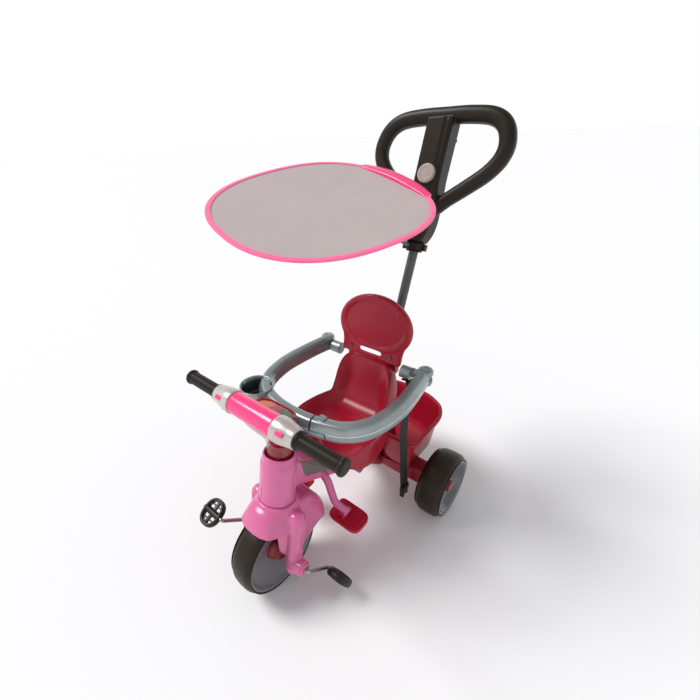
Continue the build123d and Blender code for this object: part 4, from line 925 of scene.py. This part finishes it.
column_finish = clear_plastic("clear crimson plastic", shade(146, 18, 28))
stage_height = np.array([250.8, 254, 285, 300, 312, 325, 340, 355, 366, 367.8])
stage_wide = np.array([27.6, 28, 28, 29, 33, 40, 50, 60, 67, 66.4])
stage_deep = np.array([27.6, 28, 28, 28, 28, 27.6, 27.2, 27, 27, 26.4])
stage_back = np.array([0, 0, 0, -1.5, -7, -17, -31, -43, -50, -51])
fine_height = np.concatenate([stage_height[:1], np.linspace(254, 366, 34), stage_height[-1:]])
wide, deep, shift = (np.interp(fine_height, stage_height, stage)[:, None]
                     for stage in (stage_wide, stage_deep, stage_back))
around = np.linspace(0, 2 * pi, 96, endpoint=False)[None]
square = np.interp(fine_height, [300, 366], [1.0, 0.72])[:, None]
column = on_steer(wide * squared(np.cos(around), square), shift + deep * squared(np.sin(around), square),
                  fine_height[:, None])
dimple_line = np.array([(27.2, 4.6), (28.7, 4.4), (28.9, 3.4), (28.1, 2.2), (28.0, 0)]) * MM
skirt_parts = [(column, False, True, True)]
for bearing, height in ((1.25, 292), (0.75, 284), (0.95, 274), (1.9, 286), (2.4, 276)):
    outwards = cos(bearing) * np.array([1, 0, 0]) - sin(bearing) * steer_back
    skirt_parts.append((turned(dimple_line, on_steer(0, 0, height), outwards, 24), False, True, False))
piece("column_skirt", skirt_parts, column_finish, "steering", ["stem"])

console_loop = rounded([(53, -38), (53, -8), (36, 3), (-36, 3), (-53, -8), (-53, -38), (-40, -43),
                        (40, -43)], 14, 8)
console_layers = [(4, 368.6), (0.5, 369.5), (0, 373), (-0.5, 382), (0.6, 385.8), (2.4, 386.4), (4, 385.6),
                  (5.4, 382.4), (6, 382)]
console = on_steer(*np.moveaxis(stacked(console_loop, console_layers), -1, 0))
piece("console_tray", [(console, False, True, True)], column_finish, "steering", ["console"])


def printed_label(name):
    """A glossy printed label in generic patches of orange, red, dark and green under a clear film."""
    material, start, shader = new_finish(name)
    where = start.node("TexCoord", out=3)
    split = start.node("SeparateXYZ", Vector=where)
    wave = start.node("TexNoise", Vector=where, Scale=38.0, Detail=2.0)
    along = (split * 10.0 + 0.5 + (wave - 0.5) * 0.5).clamped()
    patches = ((0.0, shade(196, 84, 40)), (0.28, shade(206, 96, 30)), (0.42, shade(150, 30, 36)),
               (0.6, shade(66, 24, 28)), (0.76, shade(18, 92, 52)), (1.0, shade(44, 30, 30)))
    colours = start.node("ValToRGB", {"stops": [(at, colour[:3]) for at, colour in patches]}, Fac=along)
    feed(material, shader, Base_Color=colours, Roughness=(0.16 + (wave - 0.5) * 0.1).clamped())
    shader.inputs["Coat Weight"].default_value = 0.8
    return material


label_loop = drawn_in(console_loop, 6.5)
label_layers = [(0.6, 381.2), (0, 381.8), (0, 382.6), (0.5, 383.0)]
label = on_steer(*np.moveaxis(stacked(label_loop, label_layers), -1, 0))
piece("console_label", [(label, False, True, True)], printed_label("console label"), "steering",
      ["console_panel"])

# ---- Handlebar: a steel tube with a hot-pink cover, silver brackets with small inserts, and ribbed grips.
bar = middle("bar_cover")
hot_pink = shade(250, 60, 128)
hot_pink_finish = moulded("hot pink plastic", hot_pink, rough=0.22, grain=0.04, coat=0.4, mottle=0.03)
cover_line = rounded([(-60, 11.1), (-60, 22.6), (-57, 23.4), (57, 23.4), (60, 22.6), (60, 11.1)],
                     [0.3, 1, 2, 2, 1, 0.3], 5)
cover = spun(cover_line, *bar)
piece("bar_cover_shell", [(cover, True, True, False)], hot_pink_finish, "steering", ["bar_cover"])
silver_finish = guard_finish_of("silver plastic", shade(186, 180, 176), shade(214, 208, 204))
clamp_line = rounded([(60.4, 11.1), (60.4, 25), (63, 26), (76, 25.8), (84, 24.6), (98, 21.6), (108, 20.4),
                      (111.6, 19.6), (111.6, 11.1)], [0.3, 1.2, 2, 3, 5, 5, 2, 1, 0.3])
clamps = [spun(clamp_line, *bar, hand) for hand in (1, -1)]
piece("bar_bracket_clamps", [(clamp, True, True, False) for clamp in clamps], silver_finish, "steering",
      ["bar_brackets"])
insert_face = np.array([0, -0.84, 0.55])
insert_face /= np.linalg.norm(insert_face)
insert_side = np.cross(insert_face, [1, 0, 0])
insert_shape = rounded([(-9, -4.6), (9, -4.6), (9, 4.6), (-9, 4.6)], 1.2, 4) * MM
inserts = [slab(insert_shape + [x * MM, 0], 25.2 * MM, 0.9 * MM, 0.5 * MM, insert_face, (1, 0, 0),
                -insert_side) + np.array([0, bar[1], bar[2]]) for x in (-86, 86)]
piece("bar_bracket_inserts", [(insert, False, True, True) for insert in inserts], hot_pink_finish, "steering",
      ["bar_inserts"])
grip_finish = moulded("grip rubber", shade(34, 27, 19), rough=0.38, grain=0.2, texture=1700.0, shine=0.2)
ribs = np.linspace(121, 204, 240)
rib_pitch = 3.6
ripple = 14.4 - 0.4 * (0.5 + 0.5 * np.cos((ribs - 121) * 2 * pi / rib_pitch)) ** 4
grip_collar = rounded([(112.3, 11.1), (112.3, 18), (116, 18.6), (119, 15.5), (121, 14.3)],
                      [0.2, 1, 1.5, 1, 0.2], 5, closed=False)
grip_knob = rounded([(204, 14.3), (207, 16.2), (210, 17), (213.5, 16.2), (215, 12.5), (215, 0)],
                    [0.5, 1.5, 1.5, 1.5, 2, 0.1], 5, closed=False)
grip_line = np.vstack([grip_collar, np.stack([ribs, ripple], 1)[1:-1], grip_knob])
for hand, letter in ((1, "l"), (-1, "r")):
    piece(f"grip_{letter}_sleeve", [(spun(grip_line, *bar, hand, 96), False, True, False)], grip_finish,
          "steering", [f"grip_{letter}"])


# ---- Push handle: two glossy dark shells closed round the tube, with a grip loop either side.
# A grey button on the front releases the tube.
def on_tube(x, along, front):
    """A point given across, up the push tube and in front of it, from the tube's foot, in millimetres."""
    x, along, front = (np.asarray(v, float)[..., None] * MM for v in np.broadcast_arrays(x, along, front))
    return tube_foot + x * np.array([1, 0, 0]) + along * along_tube + front * tube_front


handle_finish = moulded("dark handle plastic", shade(34, 26, 17), rough=0.36, grain=0.05, mottle=0.1,
                        shine=0.22)
grip_side = [(60, 844.5), (112, 838), (143, 818), (157, 784), (153, 752), (132, 722), (98, 694), (55, 662),
             (20, 634)]
other_side = [(-x, along) for x, along in grip_side[::-1]]
grip_loop = even_line([(0, 845)] + grip_side + other_side, 260, closed=True)
loop_path = on_tube(grip_loop[:, 0], grip_loop[:, 1], 0.0)
slim = np.interp(grip_loop[:, 1], [640, 700, 845], [0.92, 0.95, 1.0])[:, None, None]
tall = np.linspace(0, 2 * pi, 48, endpoint=False)
grip_section = np.stack([squared(np.cos(tall), 0.85), squared(np.sin(tall), 0.85)], 1) * 18.3
grip_skin = carried(loop_path, grip_section[None] * slim * MM, tube_front, closed=True)
housing_side = [(20, 553), (33, 580), (36.5, 604), (36, 662), (31.5, 700), (30.5, 836)]
housing_ease = [8, 12, 14, 20, 20, 6]
housing_line = rounded([(-x, along) for x, along in housing_side] + housing_side[::-1],
                       housing_ease + housing_ease[::-1], 7)
housing = slab(housing_line * MM, 0, 28 * MM, 9 * MM, tube_front, (1, 0, 0), along_tube, 8) + tube_foot
ridge_line = rounded([(-31, 640), (-31, 836), (14, 836), (17, 640)], 3, 5)
ridge = slab(ridge_line * MM, 27.0 * MM, 3.4 * MM, 3.0 * MM, tube_front, (1, 0, 0), along_tube, 5) + tube_foot
neck = turned(np.array([(531.6, 0), (531.6, 20.5), (535, 20.8), (536, 17.5), (560, 17.5), (565, 0)]) * MM,
              tube_foot, along_tube, 64)
button_middle = on_tube(0, 712, 0)
boss_ring = turned(np.array([(20, 0), (20, 29), (28, 28.5), (30.6, 26.5), (30.6, 23.4), (27, 23.4),
                             (27, 0)]) * MM, button_middle, tube_front, 80)
merged("handle_shells", [
    (grip_skin, True, True, False), (housing, False, True, True), (ridge, False, True, True),
    (neck, False, True, False), (boss_ring, False, True, False)],
    handle_finish, "push_handle", ["handle_front", "handle_rear"], 1.7 * MM, 3)
button_finish = moulded("grey button plastic", shade(170, 154, 148), rough=0.3, grain=0.05, coat=0.3)
button_line = rounded([(24, 0), (24, 22.2), (36.4, 21.6), (38.4, 19.8), (38.6, 13.5), (37.4, 12.4),
                       (37.6, 11), (38.2, 5), (38.2, 0)],
                      [0.1, 0.5, 1.2, 1.2, 0.5, 0.5, 0.5, 2, 0.1], 5, closed=False)
button = turned(button_line * MM, button_middle, tube_front, 80)
piece("release_button_cap", [(button, False, True, False)], button_finish, "release_button",
      ["handle_button"])
refinish(handle_finish, "canopy_clamp")

# ---- Canopy: woven fabric sewn into a bright tape that holds a flat spring hoop, gripped at the back by a
# hot-pink crescent on the hinge.
yaw, pitch, roll = radians(13.0), radians(5.5), radians(14.5)
level_ahead = np.array([-sin(yaw), -cos(yaw), 0])
level_left = np.array([cos(yaw), -sin(yaw), 0])
pitched_up = np.array([0, 0, cos(pitch)]) + level_ahead * sin(pitch)
shade_across = level_left * cos(roll) - pitched_up * sin(roll)
shade_up = pitched_up * cos(roll) + level_left * sin(roll)
shade_back = np.cross(shade_up, shade_across)
shade_origin = np.array([-0.005, axle_y + 0.060, 0.862])


def on_canopy(x, y, z):
    """A point given across, behind and above the middle of the canopy's back edge, in millimetres."""
    x, y, z = (np.asarray(v, float)[..., None] * MM for v in np.broadcast_arrays(x, y, z))
    return shade_origin + x * shade_across + y * shade_back + z * shade_up


half_canopy = 222.5


def canopy_edge(count, inset):
    """The canopy's outline, drawn in by inset, and its length: a squared circle in t that is half_canopy long
    either way, and narrows a little towards its far end."""
    fine = np.linspace(0, 2 * pi, 4000)
    v = squared(np.sin(fine), 0.838)
    half = 199.0 * (1 - 0.03 * v) - inset
    line = np.stack([half * squared(np.cos(fine), 0.838), -half_canopy - (half_canopy - inset) * v], 1)
    run = np.concatenate([[0], np.cumsum(np.linalg.norm(np.diff(line, axis=0), axis=1))])
    wanted = np.linspace(0, run[-1], count, endpoint=False)
    return np.stack([np.interp(wanted, run, line[:, k]) for k in range(2)], 1), run[-1]


def woven(name, first, second, scale, sheen=0.3):
    """Plain weave on the piece's own UV map: crossing threads raise the bump and change the tone."""
    material, start, shader = new_finish(name)
    where = start.node("UVMap")
    split_x = start.node("SeparateXYZ", Vector=where)
    split_y = start.node("SeparateXYZ", out=1, Vector=where)
    warp = start.node("Math", {"operation": "SINE"}, i0=split_x * scale)
    weft = start.node("Math", {"operation": "SINE"}, i0=split_y * scale)
    cross = (warp * weft * 0.5 + 0.5).clamped()
    slow = start.node("TexNoise", Vector=start.node("TexCoord", out=3), Scale=7.0, Detail=4.0, Roughness=0.6)
    thread = start.node("TexNoise", Vector=start.node("TexCoord", out=3), Scale=900.0, Detail=2.0)
    tone = (cross * 0.35 + thread * 0.35 + slow * 0.5 - 0.15).clamped()
    bump = start.node("Bump", Strength=0.35, Distance=0.0003, Height=cross * 0.8 + thread * 0.4)
    feed(material, shader, Base_Color=tone.mixed(first, second), Normal=bump,
         Roughness=(0.72 + (slow - 0.5) * 0.2).clamped())
    shader.inputs["Sheen Weight"].default_value = sheen
    shader.inputs["Sheen Roughness"].default_value = 0.5
    return material


def lay_uv(made, position_to_uv):
    """Writes a UV map from each corner's own vertex position."""
    mesh = made.data
    layer = mesh.uv_layers.new(name="UVMap")
    spots = np.empty(len(mesh.vertices) * 3)
    mesh.vertices.foreach_get("co", spots)
    corner = np.empty(len(mesh.loops), int)
    mesh.loops.foreach_get("vertex_index", corner)
    layer.uv.foreach_set("vector", position_to_uv(spots.reshape(-1, 3))[corner].ravel())


canopy_fabric = woven("canopy cloth", shade(172, 158, 156), shade(194, 180, 178), 4200.0)
tape_finish = woven("pink edge tape", shade(250, 84, 142), shade(255, 124, 170), 5200.0)
edge, _ = canopy_edge(240, 6.5)
rings = np.linspace(0, 1, 60)[:, None]
fabric_x = edge[None, :, 0] * rings
fabric_y = -half_canopy + (edge[None, :, 1] + half_canopy) * rings
bearing = np.arctan2(edge[:, 1] + half_canopy, edge[:, 0])[None]
sag = -5.5 * (1 - rings ** 2) + 0.8 * rings ** 2 * (1 - rings) * np.sin(bearing * 11 + 1.0) * 3
cloth = piece("canopy_cloth", [(on_canopy(fabric_x, fabric_y, sag * (1 - rings ** 6)), False, True, False)],
              canopy_fabric, "canopy", ["canopy_fabric"])


def canopy_uv(spots):
    away = spots - shade_origin
    return np.stack([away @ shade_across, away @ shade_back], 1)


lay_uv(cloth, canopy_uv)
thicken(cloth, 0.8 * MM, 0.0)
edge_mid, _ = canopy_edge(360, 5.75)
tape_path = on_canopy(edge_mid[:, 0], edge_mid[:, 1], 0.0)
tape_section = rounded([(-5.75, -1.2), (-5.75, 1.2), (-3, 2.4), (4.6, 2.5), (5.75, 1.4), (5.75, -1.4),
                        (4.6, -2.5), (-3, -2.4)], [0.5, 0.5, 1, 1, 1, 1, 1, 1], 4)
tape_skin = carried(tape_path, tape_section * MM, shade_up, closed=True)
tape = piece("canopy_tape", [(tape_skin, True, True, False)], tape_finish, "canopy", ["canopy_binding"])
lay_uv(tape, canopy_uv)
stitch_spots, _ = canopy_edge(300, 9.6)
ahead_spots = np.roll(stitch_spots, -1, 0) - stitch_spots
stitch_dir = ahead_spots / np.linalg.norm(ahead_spots, axis=1, keepdims=True)
grain_of = np.array([(-1.5, 0.0), (-0.9, 0.32), (0.9, 0.32), (1.5, 0.0)])
turns = np.linspace(0, 2 * pi, 6, endpoint=False)
local_side = grain_of[:, 1, None] * np.cos(turns)[None]
local_lift = grain_of[:, 1, None] * np.sin(turns)[None] * 0.8
across_dir = np.stack([-stitch_dir[:, 1], stitch_dir[:, 0]], 1)
stitches = []
for face_height in (2.45, -2.45):
    flat = (stitch_spots[:, None, None] + grain_of[None, :, None, :1] * stitch_dir[:, None, None]
            + local_side[None, :, :, None] * across_dir[:, None, None])
    lifted = face_height + np.broadcast_to(local_lift[None], flat.shape[:3])
    points = on_canopy(flat[..., 0], flat[..., 1], lifted)
    stitches += [(points[k], False, True, True) for k in range(len(points))]
thread_finish = moulded("sewing thread", shade(255, 168, 198), rough=0.7, grain=0.2)
piece("canopy_stitching", stitches, thread_finish, "canopy", ())

# The crescent: its outer line follows the canopy's back edge, its inner line is straighter.
clip_half = 101.0
clip_span = clip_half * np.sin(np.linspace(-pi / 2, pi / 2, 81))
back_edge = canopy_edge(1600, -5.6)[0]
back_edge = back_edge[back_edge[:, 1] > -80]
back_edge = back_edge[np.argsort(back_edge[:, 0])]
outer_y = np.interp(clip_span, back_edge[:, 0], back_edge[:, 1])
inner_y = np.interp(clip_span, [-clip_half, -60, 0, 60, clip_half], [-31, -27, -24, -27, -31])
inner_y = np.minimum(inner_y, outer_y - 1.5)
lens = np.linspace(0, 2 * pi, 28, endpoint=False)
across_lens = ((outer_y + inner_y)[:, None] / 2
               + (outer_y - inner_y)[:, None] / 2 * squared(np.cos(lens), 0.5))
half_thick = 3.6 + 5.2 * (1 - (clip_span / clip_half) ** 2)
clip = on_canopy(clip_span[:, None], across_lens, half_thick[:, None] * squared(np.sin(lens), 0.5))
ear_loop = rounded([(-9.5, 4), (-9.5, -8), (-20, -8), (-24, -3), (-20, 2.5), (-9.5, 6)], 4, 5) * MM
ears = [(slab(ear_loop, hand * 11.4 * MM, 2.8 * MM, 1 * MM, shade_across, shade_up, shade_back)
         + shade_origin, False, True, True) for hand in (1, -1)]
piece("canopy_crescent", [(clip, False, True, True)] + ears, hot_pink_finish, "canopy", ["canopy_clip"])

# ---- Belt: black webbing hung from the guard's bracket, ending in a side-release buckle half.
webbing_finish = woven("black webbing", shade(20, 17, 15), shade(36, 31, 28), 2600.0, 0.05)
belt_stations = 90
belt_line = even_line([(100, -48, 429), (116, -50, 428.4), (127, -66, 415), (134, -88, 392),
                       (138.5, -99, 372), (139.5, -100, 345), (138, -94, 290), (138.6, -86, 225),
                       (138, -76, 150), (138, -66, 90), (138, -64, 76)], belt_stations) * MM + [0, axle_y, 0]
down_belt = np.linspace(0, 1, belt_stations)
width_dir = np.stack([np.interp(down_belt, [0, 0.25, 0.5, 1], [0.0, 0.35, 0.30, 0.45]),
                      np.interp(down_belt, [0, 0.25, 0.5, 1], [1.0, 0.94, 0.95, 0.9]),
                      np.zeros(belt_stations)], 1)
run = np.gradient(belt_line, axis=0)
run /= np.linalg.norm(run, axis=1, keepdims=True)
width_dir -= np.sum(width_dir * run, 1, keepdims=True) * run
width_dir /= np.linalg.norm(width_dir, axis=1, keepdims=True)
belt_normal = np.cross(run, width_dir)
belt_section = rounded([(-12, -0.8), (12, -0.8), (12, 0.8), (-12, 0.8)], 0.6, 3) * MM
belt_skin = (belt_line[:, None] + belt_section[None, :, :1] * width_dir[:, None]
             + belt_section[None, :, 1:] * belt_normal[:, None])
belt = piece("belt_webbing", [(belt_skin, False, True, True)], webbing_finish, "frame", ["strap"])


def belt_uv(spots):
    """Across the belt and down it, in metres, from each spot's nearest station, at 4.2 mm a station."""
    nearest = np.argmin(np.linalg.norm(spots[:, None] - belt_line[None], axis=2), 1)
    aside = np.sum((spots - belt_line[nearest]) * width_dir[nearest], 1)
    return np.stack([aside, nearest * 0.0042], 1)


lay_uv(belt, belt_uv)
buckle_at = middle("strap_buckle")
buckle_loop = rounded([(-15, 21), (15, 21), (18, 12), (18, 2), (13, -3), (15, -20), (8, -22), (5, -12),
                       (-5, -12), (-8, -22), (-15, -20), (-13, -3), (-18, 2), (-18, 12)], 3, 5)
buckle = slab(buckle_loop * MM + buckle_at[1:], buckle_at[0], 6 * MM, 2 * MM)
piece("belt_buckle", [(buckle, False, True, True)], dark_finish, "frame", ["strap_buckle"])

# ---- The floor the tricycle stands on.
floor_mesh = bpy.data.meshes.new("floor")
floor_mesh.from_pydata([(-30, -30, 0), (30, -30, 0), (30, 30, 0), (-30, 30, 0)], [], [(0, 1, 2, 3)])
floor = bpy.data.objects.new("floor", floor_mesh)
bpy.context.scene.collection.objects.link(floor)
floor_material, _, floor_shader = new_finish("floor")
floor_shader.inputs["Base Color"].default_value = (0.9, 0.9, 0.9, 1.0)
floor_shader.inputs["Roughness"].default_value = 0.9
floor_mesh.materials.append(floor_material)

bpy.context.view_layer.update()
